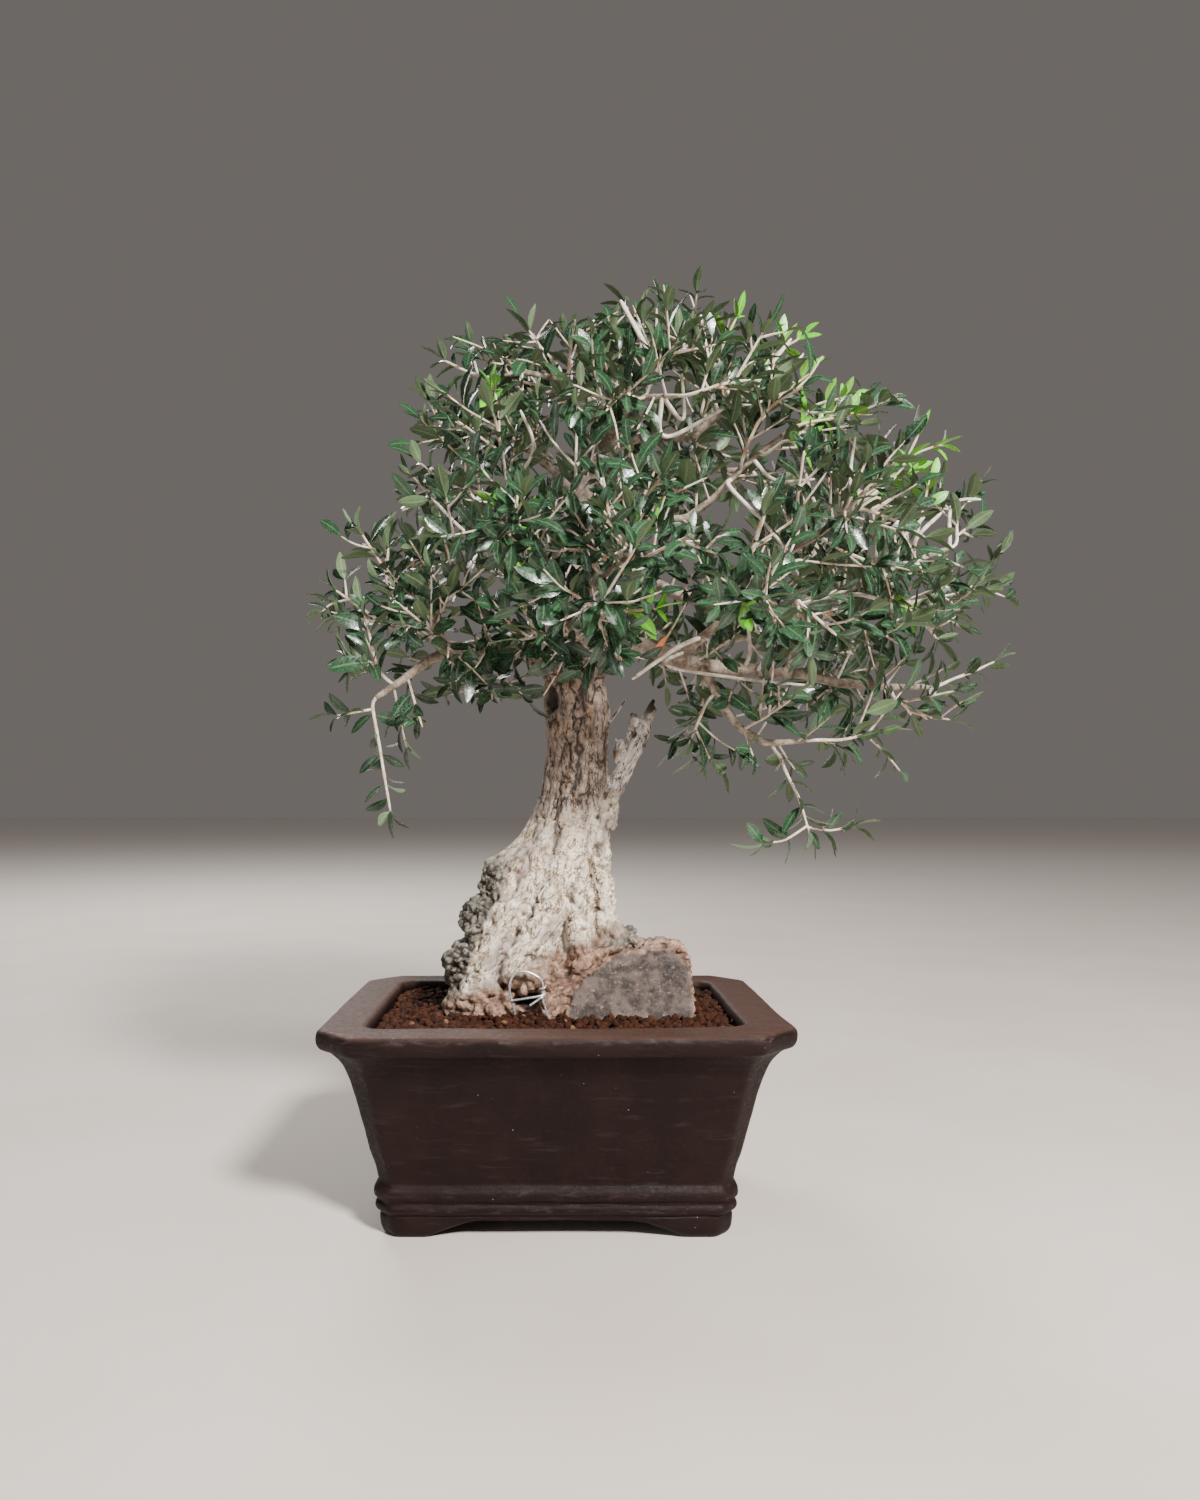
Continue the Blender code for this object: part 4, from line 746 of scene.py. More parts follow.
def blade_looks(name, light, deep, rib, dust, roughness, dust_most):
    """A leaf face: tone by leaf, pale midrib, faint side veins and a dusty mottling."""
    looks = Looks(name, roughness)
    light, deep, rib, dust = [tint(*tone) for tone in (light, deep, rib, dust)]
    chance, across, along = looks.paint()
    colour = looks.mix(chance, deep, light)
    colour = looks.coat(colour, light, looks.noise(6, 3), 0.35, 0.7, 0.4)
    veins = looks.math("SINE", looks.math("ADD", looks.times(along, 58), looks.times(across, 9)))
    colour = looks.coat(colour, rib, veins, 0.7, 1.0, 0.16)
    colour = looks.coat(colour, dust, looks.noise(1.5, 4, 0.7), 0.5, 0.72, dust_most)
    colour = looks.coat(colour, rib, across, 0.2, 0.02, 0.7)
    normal = looks.bump(looks.noise(1.2, 2), 0.12, 0.5)
    normal = looks.bump(veins, 0.04, 0.2, normal)
    return looks.done(colour, looks.noise(2, 3), (roughness - 0.07, roughness + 0.16), normal)


def twig_looks(name, pale, dark, knot_tone):
    looks = Looks(name, 0.75)
    pale, dark, knot_tone = [tint(*tone) for tone in (pale, dark, knot_tone)]
    chance, knot, _ = looks.paint()
    colour = looks.coat(dark, pale, looks.noise(3.5, 4, 0.6), 0.32, 0.7)
    colour = looks.mix(looks.times(chance, 0.5), colour, pale)
    colour = looks.mix(looks.times(knot, 0.75), colour, knot_tone)
    return looks.done(colour, looks.noise(1), (0.65, 0.85), looks.bump(looks.noise(0.8, 3), 0.15, 0.7))


def leafy_looks():
    """For each kind of growth its leaf's upper face, its lower face and its twig."""
    made = {kind: [blade_looks(name, *tones) for name, tones in faces.items()]
            for kind, faces in LEAF_TONES.items()}
    for kind, (name, tones) in TWIG_TONES.items():
        made[kind].append(twig_looks(name, *tones))
    return made


def wire_looks():
    looks = Looks("aluminium_wire", 0.3, 0.8)
    colour = looks.coat(tint(236, 238, 242), tint(176, 178, 186), looks.noise(1.4, 3), 0.4, 0.7)
    return looks.done(colour, looks.noise(0.8, 3), (0.22, 0.45), looks.bump(looks.noise(0.6, 2), 0.05, 0.6))


def plastic_looks():
    looks = Looks("mesh_plastic", 0.5)
    colour = looks.coat(tint(22, 22, 23), tint(40, 38, 37), looks.noise(2.5, 3), 0.35, 0.7)
    return looks.done(colour, looks.noise(1.5), (0.4, 0.65), looks.bump(looks.noise(0.8), 0.08, 0.5))


def floor_looks():
    looks = Looks("floor_finish", 0.7)
    near = looks.coat(tint(208, 197, 188), tint(213, 203, 195), looks.noise(180, 3), 0.3, 0.7)
    # Paler away from the pot, nearly white far off: painted light on the far floor, which meets the world's
    # colour at the horizon
    away = looks.node("ShaderNodeVectorMath", {0: looks.place}, operation="LENGTH").outputs["Value"]
    looks.feed(looks.shader, {"Base Color": looks.coat(near, tint(250, 243, 237), away, 1.2, 5.0)})
    return looks.material


def paint_layer(mesh, name, values):
    """Stores three numbers a point where a material reads them."""
    colours = np.ones((len(values), 4), np.float32)
    colours[:, :3] = values
    layer = mesh.color_attributes.new(name, "FLOAT_COLOR", "POINT")
    layer.data.foreach_set("color", colours.ravel())


class Body:
    """Points and faces of one piece in the making. Each point carries paint, numbers that the
    material reads, and each face the number of its material."""

    def __init__(self):
        self.points, self.faces, self.looks, self.paint, self.place = [], [], [], [], []
        self.count = 0

    def add(self, points, faces, look=0, paint=(0.0, 0.0, 0.0), place=(0.0, 0.0, 0.0)):
        points = np.array([tuple(point) for point in points]) if isinstance(points, list) else points
        self.points.append(points)
        self.paint.append(np.broadcast_to(paint, (len(points), 3)))
        self.place.append(np.broadcast_to(place, (len(points), 3)))
        count = self.count
        self.faces.extend([tuple([index + count for index in face]) for face in faces])
        self.looks.extend(look if isinstance(look, list) else [look] * len(faces))
        self.count += len(points)

    def made(self, name, materials, sharp=None):
        mesh = bpy.data.meshes.new(name)
        points = (np.concatenate(self.points) + np.array(HOME)) * MM
        mesh.from_pydata(points.tolist(), [], self.faces)
        for material in materials:
            mesh.materials.append(material)
        mesh.polygons.foreach_set("material_index", self.looks)
        paint_layer(mesh, "paint", np.concatenate(self.paint))
        place = np.concatenate(self.place)
        if place.any():
            paint_layer(mesh, "place", place)
        mesh.shade_smooth()
        if sharp:
            mesh.set_sharp_from_angle(angle=math.radians(sharp))
        mesh.update()
        piece = bpy.data.objects.new(name, mesh)
        bpy.context.scene.collection.objects.link(piece)
        return piece


def stands_for(piece, slot, *nodes):
    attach(piece, "root")
    if nodes:
        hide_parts(*nodes)


def loose_mesh(points, faces):
    mesh = bpy.data.meshes.new("work")
    mesh.from_pydata([tuple(point) for point in points], [], faces)
    thing = bpy.data.objects.new("work", mesh)
    bpy.context.scene.collection.objects.link(thing)
    return thing


def modified(thing):
    """The mesh of an object after its modifiers."""
    bpy.context.view_layer.update()
    return bpy.data.meshes.new_from_object(thing.evaluated_get(bpy.context.evaluated_depsgraph_get()))


def in_one_material(mesh, material):
    mesh.materials.clear()
    mesh.materials.append(material)


def lofted(rings):
    """Points and faces of a closed body through rings that have the same number of points."""
    count = len(rings[0])
    points = [point for ring in rings for point in ring]
    faces = [tuple(reversed(range(count)))]
    for row in range(len(rings) - 1):
        for side in range(count):
            after = (side + 1) % count
            low, high = row * count, (row + 1) * count
            faces.append((low + side, low + after, high + after, high + side))
    faces.append(tuple(range((len(rings) - 1) * count, len(rings) * count)))
    return points, faces


def unit_ball(subdivisions):
    bm = bmesh.new()
    bmesh.ops.create_icosphere(bm, subdivisions=subdivisions, radius=1)
    points = [vertex.co.copy() for vertex in bm.verts]
    faces = [tuple(vertex.index for vertex in face.verts) for face in bm.faces]
    bm.free()
    return points, faces


def curve_point(a, b, c, d, t):
    """A point between b and c on the smooth curve through a, b, c and d."""
    return 0.5 * (2 * b + (c - a) * t + (2 * a - 5 * b + 4 * c - d) * t * t
                  + (3 * b - a - 3 * c + d) * t * t * t)


def smooth_path(points, spacing, fewest=1, most=math.inf):
    """Points about `spacing` apart on a smooth curve through the given points, with at least the
    fewest and at most the most steps from one to the next."""
    points = [Vector(point) for point in points]
    if len(points) == 2:
        points.insert(1, (points[0] + points[1]) / 2)
    guide = [2 * points[0] - points[1], *points, 2 * points[-1] - points[-2]]
    path = [points[0]]
    for index in range(1, len(guide) - 2):
        a, b, c, d = guide[index - 1:index + 3]
        steps = max(fewest, min(most, round((c - b).length / spacing)))
        path.extend(curve_point(a, b, c, d, step / steps) for step in range(1, steps + 1))
    return path


def softened(route, spacing, passes=3):
    """Points about `spacing` apart along straight legs, with the corners a little rounded."""
    path = [Vector(route[0])]
    for a, b in zip(route, route[1:]):
        a, b = Vector(a), Vector(b)
        steps = max(1, round((b - a).length / spacing))
        path.extend(a.lerp(b, step / steps) for step in range(1, steps + 1))
    for _ in range(passes):
        inner = [(path[i - 1] + 2 * path[i] + path[i + 1]) / 4 for i in range(1, len(path) - 1)]
        path = [path[0], *inner, path[-1]]
    return path


def distances(path):
    """How far along a path each of its points is."""
    found = [0.0]
    for a, b in zip(path, path[1:]):
        found.append(found[-1] + (b - a).length)
    return found


def tapered(start, end, path):
    """A radius for each point of a path, from start to end."""
    last = len(path) - 1
    return [start + (end - start) * index / last for index in range(last + 1)]


def headings_of(path):
    last = len(path) - 1
    return [(path[min(i + 1, last)] - path[max(i - 1, 0)]).normalized() for i in range(last + 1)]


def rings_along(path, radii, sides, flat=1.0):
    """Rings round a path, turned as little as possible from one to the next."""
    turns = [math.tau * k / sides for k in range(sides)]
    side = (path[1] - path[0]).normalized().orthogonal().normalized()
    rings = []
    for point, heading, radius in zip(path, headings_of(path), radii):
        side = (side - heading * side.dot(heading)).normalized()
        other = heading.cross(side)
        rings.append([point + radius * (side * math.cos(turn) + other * flat * math.sin(turn))
                      for turn in turns])
    return rings


def side_of(heading, angle):
    """A direction square to a heading, turned round it by an angle."""
    side = heading.orthogonal().normalized()
    side.rotate(Matrix.Rotation(angle, 3, heading))
    return side


def jitter(draw, most):
    return Vector([draw.uniform(-most, most) for _ in range(3)])


def from_spot(point, spot):
    """How far a point is from a spot's middle, 1 being at its edge."""
    return math.hypot(*[(value - middle) / half for value, middle, half in zip(point, *spot)])


# Pot

def octagon_ring(half_x, cut, z):
    """A level ring with the pot's cut corners, each corner rounded and each side divided."""
    x, y = half_x, half_x - DEPTH_LESS
    corners = [(x, -y + cut), (x, y - cut), (x - cut, y), (-x + cut, y),
               (-x, y - cut), (-x, -y + cut), (-x + cut, -y), (x - cut, -y)]
    corners = [Vector((a, b, z)) for a, b in corners]
    shares = [step / (CORNER_POINTS - 1) for step in range(CORNER_POINTS)]
    arcs = []
    for index, corner in enumerate(corners):
        before = (corners[index - 1] - corner).normalized() * CORNER_ROUNDING
        after = (corners[(index + 1) % 8] - corner).normalized() * CORNER_ROUNDING
        arcs.append([corner + before * (1 - t) ** 2 + after * t ** 2 for t in shares])
    ring = []
    for index, arc in enumerate(arcs):
        ring.extend(arc)
        start, end = arc[-1], arcs[(index + 1) % 8][0]
        pieces = SIDE_PIECES[index % 4]
        ring.extend(start.lerp(end, step / pieces) for step in range(1, pieces))
    return ring


def arch_height(point, half_x, cut):
    """How high the arch between the feet is over this place on the foot ring."""
    half_y = half_x - DEPTH_LESS
    if abs(point.y) > half_y - 0.01 and abs(point.x) < half_x - cut:
        rows, along = ARCH_ALONG_X, abs(point.x)
    elif abs(point.x) > half_x - 0.01 and abs(point.y) < half_y - cut:
        rows, along = ARCH_ALONG_Y, abs(point.y)
    else:
        return 0.0
    return float(np.interp(along, [row[0] for row in rows], [row[1] for row in rows]))


def wobble(point, z):
    """The pot was pressed by hand: its sides and rim aren't quite true."""
    low = noise.noise(Vector((point.x, point.y, z)) / 48)
    high = noise.noise(Vector((point.x, point.y, z * 2)) / 13 + Vector((7, 3, 1)))
    return 0.55 * low + 0.22 * high


def pot_point(point, z, half, cut):
    """A point of the pot as a hand left it, and its paint: dust on top, and worn edges and beads that also
    carry a painted highlight.
    """
    height = z
    if z < FLOOR_UNDERSIDE:
        arch = arch_height(point, half, cut)
        height = arch + z * (FLOOR_UNDERSIDE - arch) / FLOOR_UNDERSIDE
    belt = smoothstep(12, 15, z) * (1 - smoothstep(30, 36, z))
    height += belt * 0.8 * noise.noise(Vector((point.x / 26, point.y / 26, 3.0)))
    uneven = 2.0 * math.exp(-from_spot(point, RAISED_CORNER) ** 2)
    uneven += 0.35 * noise.noise(Vector((point.x / 40, point.y / 40, 9.0)))
    height += smoothstep(96, 120, z) * uneven
    push = wobble(point, z) if z >= 1 else 0.0
    filled = bell(z, UPPER_GROOVE, 1.1) + bell(z, LOWER_GROOVE, 0.9)
    push += filled * (0.35 + 1.0 * noise.noise(Vector((point.x / 17, point.y / 17, z))))
    moved = point + Vector((point.x, point.y, 0)).normalized() * push
    moved.z = max(0.0, height)
    dust = smoothstep(123.5, 125.8, z) * smoothstep(109, 112, half)
    # The rim's lip, its inner edge and the beads: wear and dust, with a painted highlight
    lip = bell(z, 123.8, 1.8) * smoothstep(135, 138, half)
    edge = bell(half, 112.6, 1.4) * smoothstep(123, 125, z)
    beads = (0.8 * bell(z, 17.6, 1.5) + 0.45 * bell(z, 27.5, 2)) * smoothstep(100, 104, half)
    return moved, (dust, min(1.0, lip + edge + beads), 0)


def make_pot(looks):
    outside = smooth_path(POT_OUTSIDE, PROFILE_SPACING, 2, 6)
    rings, paint = [], []
    for z, half, cut in (*map(Vector, POT_UNDERSIDE), *outside, *map(Vector, POT_INSIDE)):
        made = [pot_point(point, z, half, cut) for point in octagon_ring(half, cut, z)]
        rings.append([point for point, _ in made])
        paint.extend(tones for _, tones in made)
    pot = loose_mesh(*lofted(rings))
    paint_layer(pot.data, "paint", paint)
    for x, y, radius, sides in POT_HOLES:
        turns = [math.tau * k / sides for k in range(sides)]
        cutter = loose_mesh(*lofted([
            [Vector((x + radius * math.cos(turn), y + radius * math.sin(turn), z)) for turn in turns]
            for z in (5, FLOOR_TOP + 10)]))
        change = pot.modifiers.new("hole", "BOOLEAN")
        change.operation = "DIFFERENCE"
        change.solver = "MANIFOLD"
        change.object = cutter
        result = modified(pot)
        pot.modifiers.clear()
        pot.data = result
        bpy.data.objects.remove(cutter, do_unlink=True)
    mesh = pot.data
    mesh.transform(Matrix.Translation(HOME))
    mesh.transform(Matrix.Scale(MM, 4))
    in_one_material(mesh, looks)
    mesh.shade_smooth()
    mesh.set_sharp_from_angle(angle=math.radians(50))
    pot.name = "fine_pot"
    stands_for(pot, "clay", "pot")


# Soil

def soil_height(x, y):
    return SOIL_TOP + SOIL_MOUND * max(0.0, 1 - from_spot((x, y), MOUND)) ** 0.7


def in_bed(x, y, margin):
    half_x, half_y = BED_HALF_LENGTH - margin, BED_HALF_LENGTH - DEPTH_LESS - margin
    return abs(x) < half_x and abs(y) < half_y and abs(x) + abs(y) < half_x + half_y - BED_CUT


def grain_spots(draw):
    """X, Y, rise over the soil and half size of each lump: rows of them, then the loose ones."""
    for row in range(-GRAIN_ROWS, GRAIN_ROWS + 1):
        for column in range(-GRAIN_COLUMNS, GRAIN_COLUMNS + 1):
            x = (column + (row % 2) * 0.5) * GRAIN_PITCH + draw.uniform(-GRAIN_SHIFT, GRAIN_SHIFT)
            y = row * ROW_PITCH + draw.uniform(-GRAIN_SHIFT, GRAIN_SHIFT)
            yield x, y, draw.uniform(*GRAIN_RISE), draw.uniform(*GRAIN_SIZE)
    for _ in range(LOOSE_GRAINS):
        x, y = draw.uniform(-111, 111), draw.uniform(-81, 81)
        yield x, y, draw.uniform(*LOOSE_RISE), draw.uniform(*LOOSE_SIZE)


def make_soil(looks, wood_tree):
    body = Body()
    rows = [row for row in reversed(POT_INSIDE) if row[0] < 110]
    rings = [octagon_ring(half - SOIL_GAP, cut, z) for z, half, cut in rows]
    rings[0] = [Vector((p.x, p.y, FLOOR_TOP + SOIL_GAP)) for p in rings[0]]
    edge = octagon_ring(*SOIL_EDGE)
    rings.append(edge)
    for share in (0.97, 0.9, 0.8, 0.65, 0.5, 0.3, 0.1):
        rings.append([Vector((p.x * share, p.y * share, soil_height(p.x * share, p.y * share) - 2.0))
                      for p in edge])
    # The bed is painted dark by its second number: painted shade in the gaps between the grains
    body.add(*lofted(rings), paint=(0.3, 0.75, 0))
    ball, ball_faces = unit_ball(2)
    ball_rows = np.array([tuple(p) for p in ball])
    draw = random.Random(GRAIN_SEED)
    for x, y, rise, size in list(grain_spots(draw)):
        if not in_bed(x, y, size * 0.9):
            continue
        centre = Vector((x, y, soil_height(x, y) + rise - 0.4))
        place, normal, _, away = wood_tree.find_nearest(centre)
        if away < 14 and (centre - place).dot(normal) < size * 0.45:
            continue
        offset = Vector([draw.uniform(0, 90) for _ in range(3)])
        angle = draw.uniform(0, math.tau)
        turn = Matrix.Rotation(angle, 3, Vector((draw.uniform(-1, 1), draw.uniform(-1, 1), 1)))
        stretch = np.array((draw.uniform(0.85, 1.25), draw.uniform(0.8, 1.15), draw.uniform(0.75, 1.0)))
        rough = np.array([1 + 0.42 * noise.noise(p * 1.3 + offset) for p in ball])
        shape = ball_rows * rough[:, None] * stretch * size
        shape = shape @ np.array(turn).T + np.array(centre)
        chance = draw.random()
        body.add(shape, ball_faces, paint=(chance, draw.uniform(0, 0.35), 0))
    stands_for(body.made("fine_soil", [looks]), "soil", "soil")


# Tie wire

def make_wire(looks):
    body = Body()
    heights = (WIRE_UNDERSIDE, 40, 80)
    left = [Vector((*WIRE_LEFT, z)) for z in heights]
    right = [Vector((*WIRE_RIGHT, z)) for z in reversed(heights)]
    path = left + smooth_path(WIRE_ARCH, 1.6) + right
    bend = Vector((2, 0, 0))
    path = [path[0] + bend, *path, path[-1] - bend]
    under = softened([path[-1], path[0]], 4, 0)
    for route in (path, under, smooth_path(WIRE_TWIST, 0.9), smooth_path(WIRE_TAIL, 1.2)):
        radii = [WIRE_RADIUS * (1 + 0.04 * noise.noise(point / 3)) for point in route]
        body.add(*lofted(rings_along(route, radii, 12)))
    stands_for(body.made("fine_tie_wire", [looks], 60), "wire", "tie_wire")


# Wood

def trunk_row(z):
    """The trunk's section at a height, on a smooth curve through its rings."""
    last = len(TRUNK_RINGS) - 1
    index = max(1, next((i for i, row in enumerate(TRUNK_RINGS) if row[0] >= z), last))
    low, high = TRUNK_RINGS[index - 1], TRUNK_RINGS[index]
    t = (z - low[0]) / (high[0] - low[0])
    before, after = TRUNK_RINGS[max(index - 2, 0)], TRUNK_RINGS[min(index + 1, last)]
    return [curve_point(*values, t) for values in zip(before[1:], low[1:], high[1:], after[1:])]


def trunk_shape():
    rings = []
    low, high = TRUNK_RINGS[0][0], TRUNK_RINGS[-1][0]
    for step in range(TRUNK_STEPS + 1):
        z = low + (high - low) * step / TRUNK_STEPS
        x, y, half_x, half_y = trunk_row(z)
        flare = max(0.0, (200 - z) / 100)
        ring = []
        for k in range(TRUNK_SIDES):
            angle = math.tau * k / TRUNK_SIDES
            swell = 1 + 0.05 * math.sin(3 * angle + z * 0.02) + 0.05 * flare * math.sin(7 * angle + 1.5)
            across = Vector((half_x * math.cos(angle), half_y * math.sin(angle), 0))
            ring.append(Vector((x, y, z)) + across * swell)
        rings.append(ring)
    return lofted(rings)


def lump_shape(middle, halves, turn):
    place = Matrix.Translation(Vector(middle)) @ Matrix.Rotation(math.radians(turn), 4, "Z")
    ball, faces = unit_ball(4)
    points = []
    for point in ball:
        direction = point.normalized()
        rough = 1 + 0.3 * noise.noise(direction * 1.5 + Vector(middle))
        points.append(place @ Vector([direction[axis] * halves[axis] * rough for axis in range(3)]))
    return points, faces


def face_y(x, z):
    """The Y of the stub's sawn face at X and Z."""
    tilt = STUB_NORMAL.x * (x - STUB_MIDDLE.x) + STUB_NORMAL.z * (z - STUB_MIDDLE.z)
    return STUB_MIDDLE.y - tilt / STUB_NORMAL.y


def stub_shape():
    """The stub of a sawn root, its outline divided finely and its face's edge bevelled."""
    middle_x, middle_z = STUB_MIDDLE.x, STUB_MIDDLE.z
    outline = softened([(x, z, 0) for x, z in (*STUB_OUTLINE, STUB_OUTLINE[0])], 3, 2)[:-1]
    rings = []
    for share, back in STUB_SECTIONS:
        ring = []
        for x, z, _ in outline:
            x = middle_x + (x - middle_x) * share
            z = middle_z + (z - middle_z) * share
            ring.append(Vector((x, face_y(x, z) + back, z)))
        rings.append(ring)
    return lofted(rings)


def wood_shapes():
    """The closed bodies that the trunk is grown together from."""
    shapes = [trunk_shape(), stub_shape(), *[lump_shape(*lump) for lump in ROOT_LUMPS]]
    for route, start, end in RIDGES:
        path = smooth_path(route, 3)
        radii = tapered(start, end, path)
        radii[0] *= 0.6
        radii[-1] *= 0.6
        shapes.append(lofted(rings_along(path, radii, WOOD_SIDES)))
    for name, (start, end, points) in LIMBS.items():
        bare = name in BARE_LIMBS
        if start <= THICK_LIMB and not bare:
            continue
        path = softened(smooth_path(points, LIMB_SEGMENT), 3)
        kept = [point for point, along in zip(path, distances(path)) if bare or along <= BLENDED_LENGTH]
        radii = tapered(start, end, path)[:len(kept)]
        flat = 1.0
        if name in DEAD_WOOD:
            radii = [radius * (1.04 + 0.22 * noise.noise(point / 6)) for radius, point in zip(radii, kept)]
            flat = 0.72
        shapes.append(lofted(rings_along(kept, radii, WOOD_SIDES, flat)))
    for root, tip, radius in SPLINTERS:
        path = smooth_path((root, tip), 2)
        shapes.append(lofted(rings_along(path, tapered(radius, radius * 0.2, path), 8)))
    return shapes


def grown_together(shapes):
    """One skin round overlapping bodies, open below the soil's surface and closed there by one
    flat face."""
    points, faces = [], []
    for shape, shape_faces in shapes:
        first = len(points)
        points.extend(shape)
        faces.extend(tuple(index + first for index in face) for face in shape_faces)
    work = loose_mesh(points, faces)
    skin = work.modifiers.new("skin", "REMESH")
    skin.mode = "VOXEL"
    skin.voxel_size = VOXEL
    ease = work.modifiers.new("ease", "SMOOTH")
    ease.factor = 0.5
    ease.iterations = 3
    mesh = modified(work)
    bpy.data.objects.remove(work, do_unlink=True)
    bm = bmesh.new()
    bm.from_mesh(mesh)
    buried = [vertex for vertex in bm.verts if vertex.co.z < BURIED_BELOW]
    bmesh.ops.delete(bm, geom=buried, context="VERTS")
    rim = [edge for edge in bm.edges if edge.is_boundary]
    bmesh.ops.holes_fill(bm, edges=rim, sides=0)
    bm.to_mesh(mesh)
    bm.free()
    return mesh


def crease(place):
    """Noise folded at its middle: 0 along sharp wandering lines and up to 1 between them."""
    return min(1.0, abs(noise.noise(place)) * 2.2)


def near_route(place, route):
    """How far a place is from a route."""
    best = math.inf
    for a, b in zip(route, route[1:]):
        a, b = Vector(a), Vector(b)
        leg = b - a
        share = min(1.0, max(0.0, (place - a).dot(leg) / leg.length_squared))
        best = min(best, (place - a - leg * share).length)
    return best


def in_outline(x, z, outline):
    """How deep a place is inside an outline, negative outside it, in millimetres."""
    closed = (*outline, outline[0])
    inside = False
    for (x1, z1), (x2, z2) in zip(closed, closed[1:]):
        if (z1 > z) != (z2 > z) and x < (x2 - x1) * (z - z1) / (z2 - z1) + x1:
            inside = not inside
    depth = near_route(Vector((x, z)), closed)
    return depth if inside else -depth


class Bark:
    """A place on the trunk: its share of each kind of bark from 0 to 1, and each kind's relief, which is how
    far it stands out in millimetres and how dark it is painted there, mostly as painted shade in its cracks
    and hollows."""

    def __init__(self, p):
        self.p = p
        self.wide = noise.noise(p / 15)
        self.warp = Vector((noise.noise(p / 9), noise.noise(p / 9 + Vector((5, 1, 2))), noise.noise(p / 11)))
        slant = 0.5 * smoothstep(34, -30, p.x) * smoothstep(262, 200, p.z)
        self.u = p.x - slant * (p.z - 262)
        self.face_away = abs(p.y - face_y(p.x, p.z))
        self.face_depth = in_outline(p.x, p.z, STUB_OUTLINE) + 1.5 * noise.noise(p / 4)
        self.stub = smoothstep(1.0, 2.4, self.face_depth) * (1 - smoothstep(2.6, 4.6, self.face_away))
        self.rim = smoothstep(-2.5, -0.5, self.face_depth) * (1 - smoothstep(0.8, 2.4, self.face_depth))
        self.rim *= 1 - smoothstep(3, 6, self.face_away)
        self.dead = self.dead_share()
        crumbs = math.exp(-from_spot(p, CRUMBS) ** 2) * (1 - smoothstep(14, 24, p.y))
        drips = noise.noise(Vector((p.x / 6, p.y / 6, p.z / 34)))
        self.ridged = smoothstep(216, 266, p.z + 12 * self.wide + 16 * drips) * (1 - crumbs)
        callus_top = 140 + (p.x + 42) * 0.46
        callus = 1 - smoothstep(callus_top - 8, callus_top + 7, p.z + 10 * self.wide)
        moss_edge = -60 + 0.40 * (p.z - 144) + 7 * noise.noise(p / 8)
        self.mossy = (1 - smoothstep(moss_edge - 4, moss_edge + 4, p.x)) * (1 - smoothstep(212, 226, p.z))
        self.mossy *= smoothstep(124, 136, p.z + 8 * self.wide)
        callus *= (1 - self.mossy) * (1 - 0.65 * smoothstep(8, 36, p.y))
        self.flaky = max((1 - self.ridged) * (1 - callus) * (1 - self.mossy), crumbs)
        self.callus = callus * (1 - self.stub)

    def dead_share(self):
        """How much of this place is dead wood, from 0 to 1."""
        p = self.p
        if p.x <= 30 or p.z <= 236:
            return 0.0
        dead = 1 - smoothstep(8.0, 12.0, near_route(p, LIMBS["dead_wood"][2]))
        for name in ("dead_wood_end", "dead_wood_side"):
            dead = max(dead, 1 - smoothstep(5.0, 7.5, near_route(p, LIMBS[name][2])))
        return dead * smoothstep(256, 266, p.z + 0.5 * (p.x - 36))

    def stretched(self, width, height, warped):
        """The place for a noise that follows the bark's slant."""
        return Vector((self.u / width, self.p.y / width, self.p.z / height)) + self.warp * warped

    def ridges(self):
        """Brown bark in long ridges with cracks between, painted dark there as painted shade."""
        strands = crease(self.stretched(7.5, 42, 0.5))
        threads = crease(self.stretched(3.4, 24, 0.6))
        breaks = crease(self.stretched(9, 7, 0.8))
        cracks = (smoothstep(0.2, 0.02, strands), 0.7 * smoothstep(0.18, 0.0, threads),
                  0.8 * smoothstep(0.07, 0.0, breaks))
        return 2.0 * smoothstep(0.0, 0.42, strands) + 0.8 * threads - 1.6, max(cracks)

    def flakes(self):
        """Cream bark in folds, with loose flakes and pits; the grooves and pits are painted dark, as painted
        shade.
        """
        folds = crease(self.stretched(14, 60, 0.6))
        flake = noise.noise(self.stretched(7.5, 17, 0.9))
        crest = smoothstep(0.12, 0.0, abs(flake))
        groove = smoothstep(0.02, 0.08, flake) * (1 - smoothstep(0.08, 0.16, flake))
        plates = noise.noise(self.stretched(12, 30, 1.0))
        loose = smoothstep(-0.22, 0.22, noise.noise(self.p / 19 + Vector((3, 8, 1))))
        pit = smoothstep(0.38, 0.52, noise.noise(self.p / 3.4)) * loose
        rise = 2.2 * smoothstep(0.0, 0.5, folds) - 1.4 + 0.7 * loose * (crest - groove) + 1.8 * plates
        return rise - 1.1 * pit, max(0.6 * smoothstep(0.08, 0.0, folds), 0.6 * loose * groove, 0.7 * pit)

    def knobs(self):
        """Knobbly callus with soft folds, painted dark between the knobs and in the folds as painted shade.
        """
        knobs = crease(self.p / 13 + self.warp * 0.7)
        fold = smoothstep(0.14, 0.0, abs(noise.noise(self.p / 6.5 + self.warp * 0.9)))
        rise = 2.4 * smoothstep(0.0, 0.6, knobs) - 1.4 - fold + 0.9 * noise.noise(self.p / 4.6)
        return rise, max(0.8 * smoothstep(0.1, 0.0, knobs), 0.6 * fold)

